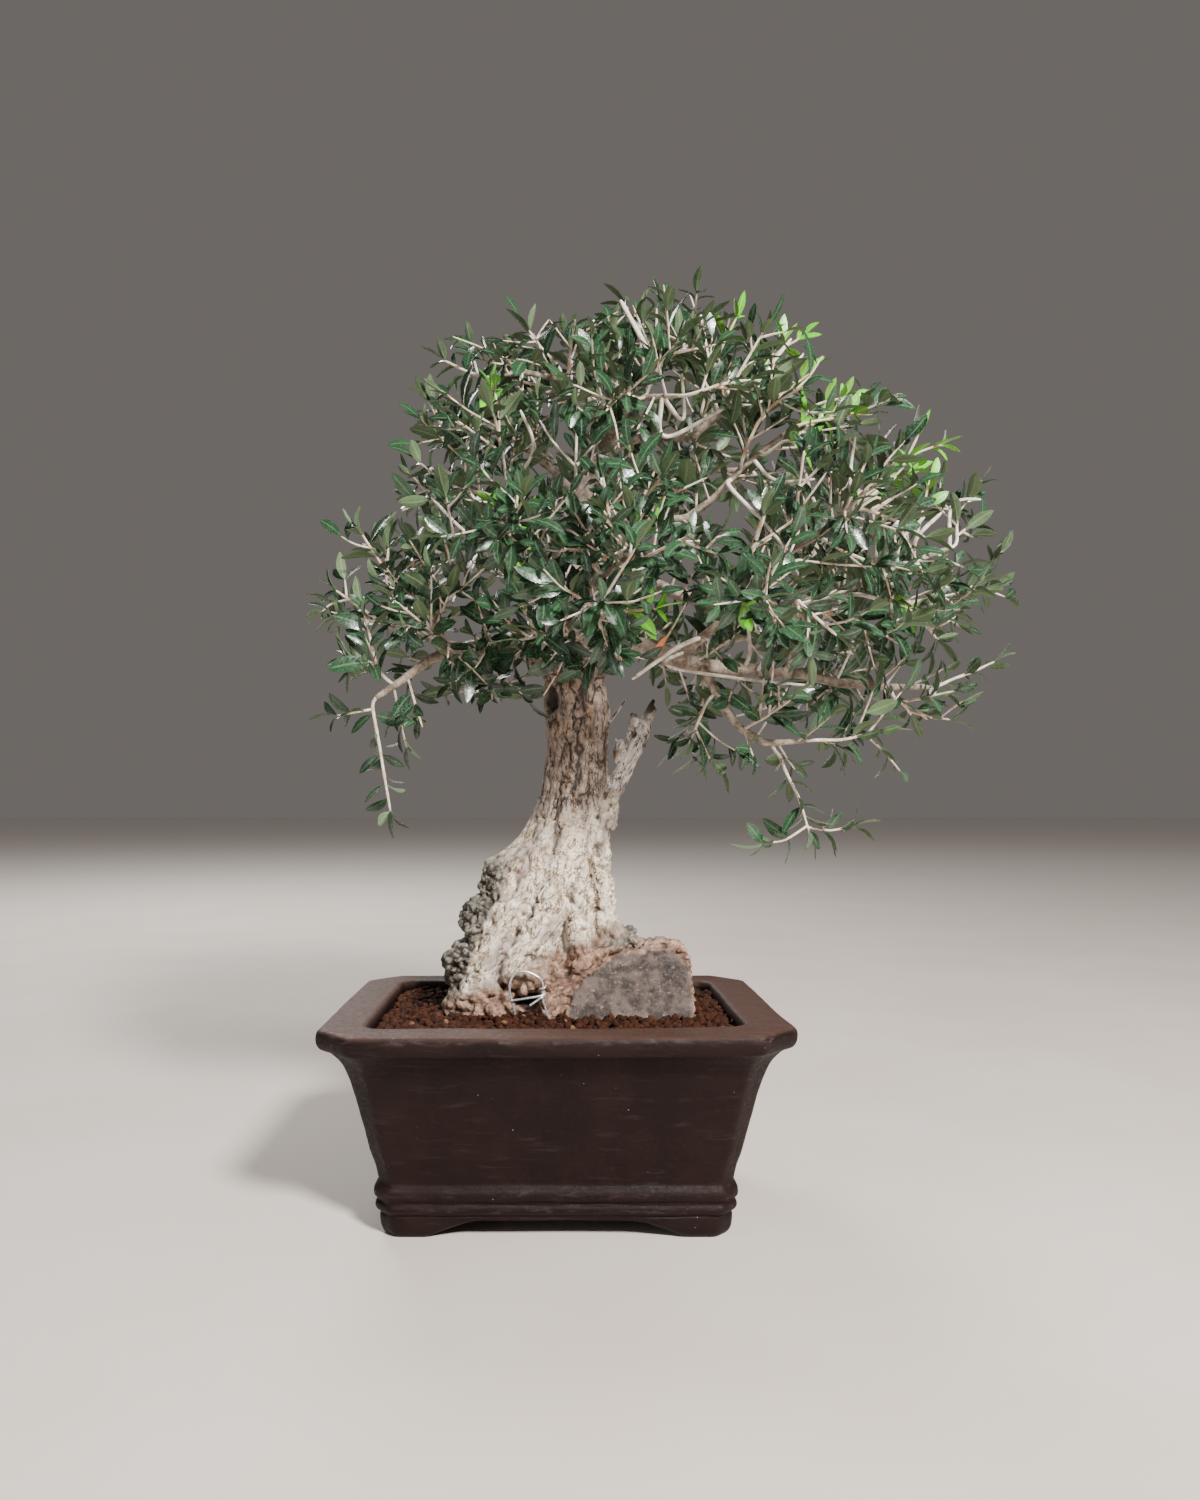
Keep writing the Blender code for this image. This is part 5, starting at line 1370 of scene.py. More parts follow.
    def wrinkles(self):
        """Dark wrinkled lumps, chipped here and there, with painted shade in the wrinkles and chips."""
        p = self.p
        wrinkles = crease(Vector(((p.x + 0.5 * p.z) / 9, p.y / 9, p.z / 5.2)) + self.warp * 0.8)
        chips = noise.noise(p / 3.2)
        rise = 5.5 * min(0.45, wrinkles) - 1.6 + 1.2 * chips + 1.8 * noise.noise(p / 6.4 + self.warp)
        return rise, max(smoothstep(0.34, 0.06, wrinkles), 0.7 * smoothstep(0.12, 0.36, -chips))

    def sawn(self):
        """The stub's face with the marks of a saw."""
        p = self.p
        saw = noise.noise(Vector((p.x / 14, p.y / 14, p.z / 3.2)) + self.warp * 0.3)
        rise = 0.6 * noise.noise(p / 5) + 0.5 * noise.noise(p / 2.2) + 0.6 * saw
        return rise, 0.35 * smoothstep(0.2, 0.5, noise.noise(p / 7 + self.warp))

    def torn(self):
        """The raised rim round the stub's face."""
        rise = 0.6 + 1.2 * noise.noise(self.p / 3.4)
        return rise, 0.5 * smoothstep(0.0, 0.3, noise.noise(self.p / 2.6))

    def burnt(self):
        """How burnt the dead wood is here, from 0 to 1."""
        return smoothstep(311, 322, self.p.z + 5 * noise.noise(self.p / 5))

    def weathered(self):
        """Dead wood: its slanting grain, its burnt tip and its eye. The grain's grooves and the sunken eye
        are painted dark as painted shade; the burnt tip is dark with char.
        """
        p = self.p
        grain = crease(Vector(((p.x - 0.55 * (p.z - 262)) / 3.2, p.y / 4, p.z / 24)) + self.warp * 0.3)
        eye = from_spot(p, DEAD_EYE)
        rise = 2.0 * grain - 0.9 + 0.7 * noise.noise(p / 3) - 1.8 * smoothstep(1.2, 0.4, eye)
        cracks = (0.75 * smoothstep(0.2, 0.0, grain), 0.85 * self.burnt(), 0.8 * smoothstep(1.2, 0.6, eye))
        return rise, max(cracks)

    def hollow(self):
        """The hollow high on the trunk, painted dark inside as painted shade."""
        away = from_spot(self.p, HOLLOW) + 0.25 * noise.noise(self.p / 4)
        return -5.0 * smoothstep(1.1, 0.3, away), 0.9 * smoothstep(1.1, 0.5, away)

    def knot(self):
        """A knot with a raised ring round it; its sunken middle and a line round the ring are painted dark,
        as painted shade.
        """
        away = from_spot(self.p, KNOT) + 0.6 * noise.noise(self.p / 4.4)
        rise = 1.6 * smoothstep(1.9, 1.1, away) - 3.0 * smoothstep(1.0, 0.3, away)
        return rise, 0.7 * smoothstep(0.9, 0.3, away) + 0.5 * smoothstep(0.16, 0.0, abs(away - 1.45))

    def front_cracks(self):
        """The deeper cracks that are drawn on the front, sunk and painted dark as painted shade."""
        p = self.p
        if p.y >= 20:
            return 0, 0
        front = smoothstep(20, 8, p.y) * (0.6 + 0.7 * noise.noise(p / 8))
        away = min(near_route(Vector((p.x, p.z)), route) for route in FRONT_CRACKS)
        away += 1.3 * noise.noise(p / 2.8)
        return -1.7 * front * smoothstep(1.9, 0.1, away), front * smoothstep(1.2, 0.1, away)


def bark_at(p):
    """How far the bark stands out at a place on the trunk, and its paint in two layers."""
    bark = Bark(p)
    live = 1 - bark.dead
    reliefs = (
        (bark.ridged * live, bark.ridges()),
        ((1 - bark.stub) * live, (1.4 * bark.wide, 0)),
        (bark.flaky, bark.flakes()),
        (bark.callus, bark.knobs()),
        (bark.mossy, bark.wrinkles()),
        (bark.stub, bark.sawn()),
        (bark.rim, bark.torn()),
        (bark.dead, bark.weathered()),
        (1, bark.hollow()),
        (smoothstep(12, 2, p.y), bark.knot()),
        (1, bark.front_cracks()),
    )
    rise = sum(share * height for share, (height, _) in reliefs)
    # The darkest paint of all kinds: mostly painted shade in cracks, pits and hollows, with the burnt tip and
    # a few dark patches of the wood itself
    shade_and_dark_spots = max(share * depth for share, (_, depth) in reliefs)
    silver = bark.dead * (1 - bark.dead * bark.burnt())
    if p.y > 24 and p.z > 300:
        stem = smoothstep(4.0, 2.6, near_route(p, LIMBS["thin_stem"][2]))
        silver = max(silver, stem)
        shade_and_dark_spots *= 1 - stem
        rise *= 1 - stem
    grey = max(math.exp(-from_spot(p, GREY_ROLL) ** 2), smoothstep(1, 4 / 7, from_spot(p, GREY_KNOB)))
    grey *= smoothstep(14, 6, p.y)
    cream = max(bark.flaky * (1 - grey) * live, silver)
    paint = (min(1.0, shade_and_dark_spots), cream, bark.callus * (1 - 0.85 * grey))
    return rise, paint, (max(bark.mossy, 0.85 * grey), bark.stub, silver)


def vertex_rows(mesh, name):
    values = np.empty(len(mesh.vertices) * 3)
    mesh.vertices.foreach_get(name, values)
    return values.reshape(-1, 3)


def make_wood(looks):
    """The trunk and its limbs. Returns the trunk's surface, for finding what is near it."""
    mesh = grown_together(wood_shapes())
    points, normals = vertex_rows(mesh, "co"), vertex_rows(mesh, "normal")
    faces = [tuple(face.vertices) for face in mesh.polygons]
    moved, paint, place = points.copy(), np.zeros((len(points), 3)), np.zeros((len(points), 3))
    for index, point in enumerate(points):
        rise, paint[index], place[index] = bark_at(Vector(point))
        moved[index] = point + normals[index] * rise
        # The dent is pushed back and painted dark inside: painted shade
        dent = from_spot(point, ROOT_DENT)
        if dent < 1 and point[1] < 0:
            moved[index][1] += 10 * smoothstep(1.0, 0.35, dent)
            paint[index][0] = max(paint[index][0], smoothstep(1.0, 0.5, dent) * 0.95)
    bpy.data.meshes.remove(mesh)
    body = Body()
    body.add(moved, faces, paint=paint, place=place)
    for name, (start, end, route) in LIMBS.items():
        if name not in BARE_LIMBS:
            add_limb(body, name, start, end, route)
    stands_for(body.made("fine_wood", [looks]), "wood", "trunk_and_limbs")
    return BVHTree.FromPolygons(moved.tolist(), faces)


def add_limb(body, name, start, end, route):
    """A limb with its knuckles and wrinkled rind."""
    path = softened(smooth_path(route, LIMB_SEGMENT), LIMB_STEP)
    thick = start > THICK_LIMB
    seed = Vector((sum(ord(letter) for letter in name) % 97, 0, 0))
    radii = []
    for radius, point in zip(tapered(start, end, path), path):
        knuckle = 0.16 * smoothstep(0.35, 0.62, noise.noise(point / 13 + seed))
        radii.append(radius * (0.985 + knuckle + 0.07 * noise.noise(point / 5 + seed)))
    if thick:
        skipped = int((BLENDED_LENGTH - 8) / LIMB_STEP)
        path, radii = path[skipped:], radii[skipped:]
    radii[-1] *= 0.85
    rings = []
    for point, ring in zip(path, rings_along(path, radii, 14 if thick else 10)):
        rings.append([point + (spot - point) * (1 + 0.13 * noise.noise(spot / 2.7)) for spot in ring])
    points, faces = lofted(rings)
    age = smoothstep(3.0, 7.0, start)
    paint = np.array([(0.35 * smoothstep(0.1, 0.5, noise.noise(p / 2.4)), 0, 0) for p in points])
    body.add(points, faces, paint=paint, place=(0.0, 0.0, 1.0 - 0.45 * age))


# Foliage: the frame's growth rule, then the finer shoots and leaves between

def limb_points():
    """Every few millimetres along each leafy limb: place, heading, radius and share along it."""
    found = []
    for name, (start, end, points) in LIMBS.items():
        if name in BARE_LIMBS:
            continue
        path = smooth_path(points, LIMB_SEGMENT)
        legs = len(path) - 1
        for leg in range(legs):
            heading = (path[leg + 1] - path[leg]).normalized()
            steps = math.ceil((path[leg + 1] - path[leg]).length / 5)
            for step in range(1, steps + 1):
                share = (leg + step / steps) / legs
                place = path[leg].lerp(path[leg + 1], step / steps)
                found.append((place, heading, start + (end - start) * share, share))
    return found


def twig_start(tip, places, taken):
    """Where a twig to this tip leaves the limbs: near, ahead along the limb, and not crowded."""
    best = None
    for place, heading, radius, share in places:
        away = tip - place
        reach = away.length
        if reach < LEAST_REACH or LIMB_END < share < 1:
            continue
        along = away.normalized().dot(heading)
        crowding = sum(CROWD_COST for other in taken if (other - place).length < CROWD_WITHIN)
        cost = reach * (1.5 - 0.55 * along) + crowding + (THICK_COST if radius > THICK_RADIUS else 0)
        if best is None or cost < best[0]:
            best = (cost, place, heading, radius, share)
    return best[1:]


def clear_of_limb(place, radius, direction, crowd):
    """The point on a straight line out of the limb where a twig's flat end is just clear of it."""
    reach = radius * 0.5
    while True:
        start = place + direction * reach
        stem = [start - direction * GAP, start + direction * (radius + 4)]
        if not crowd.hits(*sheath(stem, TWIG_RADIUS + 0.15)):
            return start
        reach += 0.15


def outward(heading, straight):
    """The direction in which a twig leaves a limb: mostly square to it, on the side of its tip."""
    square = (straight - heading * straight.dot(heading)).normalized()
    return (square + heading * 0.35 * math.copysign(1, straight.dot(heading))).normalized()


def twig_foot(place, heading, radius, share, towards, crowd):
    """Where a twig starts just clear of its limb, and its direction there."""
    if share == 1:
        return place + heading * (GAP + 0.1), heading
    direction = outward(heading, towards.normalized())
    return clear_of_limb(place, radius, direction, crowd), direction


def rooted(route, places, crowd):
    """A drawn twig's route, starting just clear of the limb that it grows from."""
    open_places = [row for row in places if not LIMB_END < row[3] < 1]
    nearest = min(open_places, key=lambda row: (row[0] - route[0]).length)
    start, direction = twig_foot(*nearest, route[1] - route[0], crowd)
    return [start, start + direction * 3, *route[1:]]


class Spray:
    """A leafy stem of the frame: its twigs as routes with thickness, the main one first, and the
    leaves that the frame gives it."""

    def __init__(self, name, slot, drawn, seed):
        self.name = name
        self.slot = slot
        self.young = slot == "young_leaves"
        self.drawn = drawn
        self.draw = random.Random(seed)
        self.routes = []
        self.leaves = []


def leaf_body(base, along, face_up, length, width, thickness):
    """A plain blade, with which the growth rule keeps leaves clear of each other."""
    across = along.cross(face_up).normalized()
    face_up = across.cross(along).normalized()
    points = [base]
    for share, wide, rise in LEAF_STATIONS:
        middle = base + along * (length * share) + face_up * (length * rise)
        points.append(middle + across * (width / 2 * wide))
        points.append(middle - across * (width / 2 * wide))
    points.append(base + along * length)
    points.append(base + along * (length * 0.48) + face_up * (length * 0.03 - thickness))
    rim = (0, 1, 3, 5, 4, 2)
    faces = [(0, 1, 2), (1, 3, 4), (1, 4, 2), (3, 5, 4)]
    faces += [(rim[index - 1], rim[index], 6) for index in range(6)]
    return points, faces


def tree_of(points, faces):
    return BVHTree.FromPolygons([Vector(point) for point in points], faces, epsilon=0.0)


def extent(points):
    """The lowest and the highest corner of the box round some points."""
    return [[pick(point[axis] for point in points) for axis in range(3)] for pick in (min, max)]


class Crowd:
    """What stands already, to keep new twigs and leaves clear of it, filed by place."""

    CELL = 26.0

    def __init__(self):
        self.wide = []
        self.cells = defaultdict(list)

    def cells_of(self, lows, highs):
        spans = [range(int(lows[a] // self.CELL), int(highs[a] // self.CELL) + 1) for a in range(3)]
        return [(i, j, k) for i in spans[0] for j in spans[1] for k in spans[2]]

    def add(self, points, faces, wide=False):
        lows, highs = extent(points)
        entry = (lows, highs, tree_of(points, faces))
        if wide:
            self.wide.append(entry)
            return
        for cell in self.cells_of(lows, highs):
            self.cells[cell].append(entry)

    def hits(self, points, faces):
        lows, highs = extent(points)
        tree = None
        near = {id(entry): entry for cell in self.cells_of(lows, highs) for entry in self.cells.get(cell, ())}
        for low, high, other in [*self.wide, *near.values()]:
            if any(lows[axis] > high[axis] or highs[axis] < low[axis] for axis in range(3)):
                continue
            tree = tree or tree_of(points, faces)
            if other.overlap(tree):
                return True
        return False


def twig_path(spray, start, direction, tip, bow):
    """A slightly bowed route from a start, first straight along its direction, to a tip."""
    knee = start + direction * min(5.0, (tip - start).length * 0.2)
    middle = (knee + tip) / 2 + jitter(spray.draw, bow)
    return [start, knee, middle, tip]


def sheath(path, radius):
    """A four-sided tube round a path."""
    return lofted(rings_along(path, [radius] * len(path), 4))


def lay_main(spray, tip, places, taken, crowd):
    """The main twig's route from a limb to its tip, clear of what stands already."""
    tip = Vector(tip)
    place, heading, radius, share = twig_start(tip, places, taken)
    for attempt in range(TRIES * 3):
        start, direction = twig_foot(place, heading, radius, share, tip - place, crowd)
        path = twig_path(spray, start, direction, tip, 4 + attempt * 0.6)
        near = (start - place).length < radius + 2.5
        beyond = [start + direction * 3, *path[1:]]
        if near and not crowd.hits(*sheath(path, TWIG_RADIUS + 0.1)) and not crowd.hits(
                *sheath(beyond, TWIG_RADIUS + CLEARANCE)):
            taken.append(place)
            return path
        tip = tip + jitter(spray.draw, 2.5)
        if attempt % 6 == 5:
            place, heading, radius, share = twig_start(tip, places, [*taken, place, place, place])
    return None


def lay_shoots(spray, main, crowd):
    """Side shoots leave the outer part of the main twig to either side."""
    turn = spray.draw.uniform(0, math.tau)
    for index in range(SHOOTS_A_SPRAY):
        for _ in range(TRIES):
            share = 0.35 + 0.6 * (index + spray.draw.uniform(0.1, 0.9)) / SHOOTS_A_SPRAY
            step = share * (len(main) - 1)
            low = min(int(step), len(main) - 2)
            start = main[low].lerp(main[low + 1], step - low)
            heading = (main[low + 1] - main[low]).normalized()
            side = side_of(heading, turn + index * 2.4 + spray.draw.uniform(-0.5, 0.5))
            direction = (heading * 0.75 + side * 0.8 + UP * 0.12).normalized()
            length = SHOOT_LENGTH * spray.draw.uniform(0.75, 1.15)
            end = start + direction * length + UP * spray.draw.uniform(-4, 5)
            if not crowd.hits(*sheath([start + direction * 0.5, end], SHOOT_RADIUS + CLEARANCE)):
                spray.routes.append(([start, end], SHOOT_RADIUS))
                break


def lay_leaves(spray, path, radius, crowd):
    """Opposite pairs, each turned a quarter from the last, and one leaf at the tip."""
    size = 0.8 if spray.young else 1.0
    most_pairs = 2 if spray.young or spray.drawn else MOST_PAIRS
    lengths = distances(path)
    quarter = spray.draw.uniform(0, math.tau)
    for node in range(most_pairs + 1):
        along = lengths[-1] - node * LEAF_STEP - 0.2
        if along < 4:
            break
        leg = max(index for index in range(len(path) - 1) if lengths[index] <= along)
        share = (along - lengths[leg]) / max(lengths[leg + 1] - lengths[leg], 1e-6)
        base = path[leg].lerp(path[leg + 1], min(share, 1.0))
        heading = (path[leg + 1] - path[leg]).normalized()
        for side_index in range(2 if node else 1):
            if node and spray.draw.random() > LEAVES_KEPT:
                continue
            for attempt in range(TRIES):
                angle = quarter + node * math.pi / 2 + side_index * math.pi
                side = side_of(heading, angle + spray.draw.uniform(-0.35, 0.35) * (1 + attempt * 0.35))
                lean = spray.draw.uniform(0.8, 1.25) if node else 0.12
                direction = (heading * math.cos(lean) + side * math.sin(lean)).normalized()
                length = LEAF_LENGTH * size * spray.draw.uniform(0.72, 1.25)
                width = length * LEAF_SLIMNESS * spray.draw.uniform(0.8, 1.2)
                face = (heading * 0.6 + UP * 0.9 + side * 0.1).normalized()
                if abs(face.dot(direction)) > 0.9:
                    face = heading.cross(side)
                foot = base + direction * (0 if node else -1.0)
                shape = leaf_body(foot, direction, face, length, width, LEAF_THICKNESS)
                fat = leaf_body(foot + direction * (radius + 0.6), direction, face, length,
                                width + 2 * CLEARANCE, LEAF_THICKNESS + 2 * CLEARANCE)
                if not crowd.hits(*fat):
                    spray.leaves.append((foot, direction, face, length, width))
                    crowd.add(*shape)
                    break


def blade_template():
    """Ring indexes of a blade, its faces, and which material each face takes."""
    wide = len(BLADE_RING)
    rows = len(BLADE_ROWS)
    faces, looks = [tuple(reversed(range(wide)))], [0]
    for row in range(rows):
        for side in range(wide):
            after = (side + 1) % wide
            low, high = row * wide, (row + 1) * wide
            tip = (high,) if row == rows - 1 else (high + after, high + side)
            faces.append((low + side, low + after, *tip))
            looks.append(0 if side < TOP_SIDES else 1)
    return faces, looks


BLADE_FACES, BLADE_LOOKS = blade_template()


def sunward(place):
    """The side to which a leaf here turns its upper face: out of the crown, up, and forwards."""
    out = (place - CROWN_MIDDLE).normalized()
    return (out * 0.85 + UP * 0.55 + Vector((0.12, -0.34, 0))).normalized()


def add_blade(body, foot, along, face_up, length, width, draw):
    """A leaf: folded a little along its midrib, arched along its length, and twisted."""
    if face_up.dot(sunward(foot)) < 0:
        face_up = -face_up
    across = along.cross(face_up).normalized()
    up = across.cross(along).normalized()
    fold = draw.uniform(0.06, 0.32)
    curl = draw.uniform(-0.08, 0.14)
    sweep = draw.uniform(-0.07, 0.07)
    twist = draw.uniform(-0.35, 0.35)
    fullest = draw.uniform(0.9, 1.15)
    chance = draw.random()
    points, paint = [], []
    for share, wide in BLADE_ROWS:
        lean = twist * share
        side = across * math.cos(lean) + up * math.sin(lean)
        top = up * math.cos(lean) - across * math.sin(lean)
        middle = foot + along * (length * share) + across * (length * sweep * math.sin(math.pi * share))
        arch = 0.055 * math.sin(math.pi * min(1, share * 1.1)) - curl * share * share
        middle = middle + up * (length * arch)
        half = width / 2 * (wide ** (1 / fullest))
        stalk = 1 - smoothstep(0.04, 0.2, share)
        thick = BLADE_THICKNESS * (0.5 + 0.5 * wide)
        for out, below in BLADE_RING:
            lift = half * fold * abs(out) * (1 - stalk)
            point = middle + side * (half * out) + top * lift
            if below:
                point = middle - top * (thick + 0.25 * stalk)
            points.append(point)
            paint.append((chance, abs(out), share))
    points.append(foot + along * length - up * (length * curl))
    paint.append((chance, 0.5, 1.0))
    body.add(np.array([tuple(point) for point in points]), BLADE_FACES, list(BLADE_LOOKS), np.array(paint))


def add_twig(body, route, start_radius, end_radius, draw, nodes=(), look=2, sides=6, sink=0.0):
    """A twig along a route, swollen a little where its leaves leave it."""
    path = softened(route, 3.2, 2)
    if sink:
        path[0] = path[0] - (path[1] - path[0]).normalized() * sink
    lengths = distances(path)
    radii, knots = [], []
    for along in lengths:
        radius = start_radius + (end_radius - start_radius) * (along / lengths[-1])
        knot = max([bell(along, node, 1.3) for node in nodes] or [0.0])
        radii.append(radius * (1 + 0.28 * knot) * draw.uniform(0.95, 1.05))
        knots.append(knot)
    radii[-1] *= 0.6
    chance = draw.random()
    points, faces = lofted(rings_along(path, radii, sides))
    paint = np.array([(chance, knot, 0) for knot in knots for _ in range(sides)])
    body.add(points, faces, look, paint)


def lay_drawn(spray, routes, places, taken, crowd):
    """The twigs of a spray that are seen one by one, the main one led to its limb."""
    for index, route in enumerate(routes):
        route = [Vector(point) for point in route]
        if index == 0:
            route = rooted(route, places, crowd)
            taken.append(route[0])
        spray.routes.append((route, SHOOT_RADIUS if index else TWIG_RADIUS))


def grow_frame_sprays(wood_points, wood_faces):
    """The frame's sprays again, laid by its rule with its seeds, so that each piece stands where
    its node is."""
    places = limb_points()
    taken = []
    crowd = Crowd()
    crowd.add(wood_points, wood_faces, wide=True)
    plans = [("spray_" + name, "leaves", routes, True) for name, routes in DRAWN_SPRAYS.items()]
    plans += [(name, "young_leaves", routes, True) for name, routes in YOUNG_SPRAYS.items()]
    plans += [("spray_" + name, "leaves", tip, False) for name, tip in SPRAY_TIPS.items()]
    sprays = []
    for seed, (name, slot, plan, drawn) in enumerate(plans):
        spray = Spray(name, slot, drawn, seed + 1)
        if drawn:
            lay_drawn(spray, plan, places, taken, crowd)
        else:
            path = lay_main(spray, plan, places, taken, crowd)
            if path is None:
                continue
            spray.routes.append((path, TWIG_RADIUS))
            lay_shoots(spray, path, crowd)
        for route, radius in spray.routes:
            crowd.add(*sheath(route, radius + CLEARANCE))
        sprays.append(spray)
    return sprays, crowd, places


def along_route(route, distance):
    """Place and heading at a distance along straight legs."""
    for a, b in zip(route, route[1:]):
        span = (b - a).length
        if distance <= span or b is route[-1]:
            return a.lerp(b, min(1.0, distance / max(span, 1e-6))), (b - a).normalized()
        distance -= span


def line_height(line, x):
    """The height of a line of X and Z points at an X."""
    for (x_start, z_start), (x_end, z_end) in zip(line, line[1:]):
        if x < x_end:
            return z_start + (z_end - z_start) * max(0.0, (x - x_start) / (x_end - x_start))
    return line[-1][1]


def within_box(point):
    """Whether a point of the fine growth lies in the solids' box and in the crown's outline."""
    scale = CAMERA_PLACE.y / (CAMERA_PLACE.y - point[1])
    height = CAMERA_PLACE.z + (point[2] - CAMERA_PLACE.z) * scale
    if not line_height(CROWN_FOOT, point[0] * scale) < height < line_height(CROWN_TOP, point[0] * scale):
        return False
    for low, high, value, home in zip(*CAD_BOX, point, HOME):
        if not low + INSIDE_MARGIN * MM < (value + home) * MM < high - INSIDE_MARGIN * MM:
            return False
    return True


def leaf_fits(crowd, foot, along, face, length, width):
    fat = leaf_body(foot + along * 1.4, along, face, length - 1.2, width + 0.5, 1.3)
    return all(within_box(point) for point in fat[0]) and not crowd.hits(*fat)


def dress_route(body, route, crowd, draw, size, from_end, kept=0.9, tip_leaf=True, step=FINE_STEP):
    """Opposite pairs of fine leaves back along a twig from its end. Returns where they leave it."""
    quarter = draw.uniform(0, math.tau)
    nodes = []
    distance, index = distances(route)[-1] - 0.3, 0
    while distance > from_end:
        base, heading = along_route(route, distance)
        sides = 1 if index == 0 and tip_leaf else 2
        for side_index in range(sides):
            if index and draw.random() > kept:
                continue
            for attempt in range(LEAF_TRIES):
                angle = quarter + index * math.pi / 2 + side_index * math.pi
                side = side_of(heading, angle + draw.uniform(-0.4, 0.4) * (1 + attempt))
                lean = draw.uniform(0.05, 0.3) if sides == 1 else draw.uniform(0.65, 1.2)
                along = (heading * math.cos(lean) + side * math.sin(lean) + UP * 0.1).normalized()
                length = draw.triangular(*FINE_LEAF) * size * (0.75 if index <= 1 else 1.0)
                width = length * draw.uniform(*FINE_SLIMNESS)
                face = (heading * 0.4 + sunward(base) + jitter(draw, 0.6)).normalized()
                if abs(face.dot(along)) > 0.9:
                    face = heading.cross(side)
                if leaf_fits(crowd, base, along, face, length, width):
                    crowd.add(*leaf_body(base, along, face, length, width, LEAF_THICKNESS))
                    add_blade(body, base, along, face, length, width, draw)
                    break
        nodes.append(distance)
        distance -= step * draw.uniform(0.8, 1.2) * (0.6 if index == 0 else 1.0)
        index += 1
    return nodes


def side_shoots(body, route, crowd, draw, size, first, apart=FINE_SHOOTS_APART, lengths=FINE_SHOOT_LENGTH):
    """Fine shoots to both sides of a twig, each with its leaves. Returns where they leave it."""
    total = distances(route)[-1]
    turn = draw.uniform(0, math.tau)
    distance, index = first, 0
    nodes = []
    while distance < total - 6:
        base, heading = along_route(route, distance)
        for attempt in range(SHOOT_TRIES):
            side = side_of(heading, turn + index * 2.2 + draw.uniform(-0.6, 0.6))
            direction = (heading * draw.uniform(0.5, 1.0) + side * 0.9 + UP * 0.2).normalized()
            length = draw.uniform(*lengths) * (0.7 if attempt > 4 else 1.0)
            bend = jitter(draw, 0.12) + UP * 0.06
            shoot = [base, base + direction * length * 0.5, base + (direction + bend).normalized() * length]
            if not within_box(shoot[-1]):
                continue
            if not crowd.hits(*sheath([base + direction * 2.2, *shoot[1:]], FINE_SHOOT_RADIUS + 0.3)):
                crowd.add(*sheath([base + direction * 1.5, *shoot[1:]], FINE_SHOOT_RADIUS + 0.1))
                knots = dress_route(body, shoot, crowd, draw, size, 5.0)
                add_twig(body, shoot, FINE_SHOOT_RADIUS * 1.15, FINE_SHOOT_RADIUS * 0.75, draw, knots,
                         sides=5)
                nodes.append(distance)
                break
        distance += apart * draw.uniform(0.7, 1.3)
        index += 1
    return nodes


def dress_spray(body, spray, crowd, draw):
    """A frame spray's leaves, its twigs, and the finer shoots and leaves on them."""
    for leaf in spray.leaves:
        add_blade(body, *leaf, draw)
    size = 0.85 if spray.young else 1.0
    for index, (route, radius) in enumerate(spray.routes):
        main = index == 0
        nodes = []
        if not spray.drawn:
            if main:
                nodes = side_shoots(body, route, crowd, draw, size, 14)
            else:
                nodes = side_shoots(body, route, crowd, draw, size, 7, 11, (10, 22))
            nodes += dress_route(body, route, crowd, draw, size, 10 if main else 5, tip_leaf=False)
        elif spray.young:
            nodes = dress_route(body, route, crowd, draw, size, 12, kept=0.6, tip_leaf=False)
        elif spray.name != BARE_SPRAY:
            nodes = dress_route(body, route, crowd, draw, 1.05, 8, kept=0.8, tip_leaf=False, step=DRAWN_STEP)
        add_twig(body, route, radius * 1.12, radius * 0.75, draw, nodes, sides=7, sink=2.0 if main else 0.6)


def grow_foliage(looks, wood_points, wood_faces):
    sprays, crowd, places = grow_frame_sprays(wood_points, wood_faces)
    for spray in sprays:
        for path, radius in spray.routes:
            lay_leaves(spray, path, radius, crowd)
    grow_cut_twigs(looks, crowd, places)
    for number, spray in enumerate(sprays):
        body = Body()
        dress_spray(body, spray, crowd, random.Random(SPRAY_SEED + number))
        piece = body.made("fine_" + spray.name, looks["young" if spray.young else "leaf"], LEAF_SHARP)
        stands_for(piece, spray.slot, spray.name)
    grow_spurs(looks, crowd)
    grow_fillers(looks, crowd, places)


def keep_in_sight(crowd, route):
    """Keeps the way from a route to the camera's side free of fine leaves."""
    for a, b in zip(route, route[1:]):
        towards = (CAMERA_PLACE - (a + b) / 2).normalized()
        over = (b - a).cross(towards).normalized() * 0.8
        points = []
        for offset in (over, -over):
            points += [a + offset + towards * 2, b + offset + towards * 2,
                       b + offset + towards * SIGHT_LENGTH, a + offset + towards * SIGHT_LENGTH]
        crowd.add(points, [(0, 1, 2, 3), (4, 5, 6, 7)])


def grow_cut_twigs(looks, crowd, places):
    """The bare whitish twigs that were cut back, and one dry leaf."""
    draw = random.Random(CUT_SEED)
    body = Body()
    for radius, points in CUT_TWIGS:
        points = [Vector(point) for point in points]
        place = min(places, key=lambda row: (row[0] - points[0]).length)[0]
        route = [place, *points] if (place - points[0]).length > 6 else [place, *points[1:]]
        add_twig(body, smooth_path(route, 8), radius * 1.25, radius * 0.85, draw, look=0, sides=7)
        crowd.add(*sheath(route, radius + 0.3))
        keep_in_sight(crowd, points)
    stands_for(body.made("fine_cut_twigs", [looks["leaf"][2]], LEAF_SHARP), "wood")
    for name in ("bright", "front"):
        keep_in_sight(crowd, smooth_path(LIMBS[name][2][1:], 12))
    foot, along, length, width = DRY_LEAF
    dry = Body()
    add_blade(dry, Vector(foot), Vector(along).normalized(), Vector((0.5, -0.8, 0.2)), length, width, draw)
    stands_for(dry.made("dry_leaf", looks["dry"], LEAF_SHARP), "leaves")


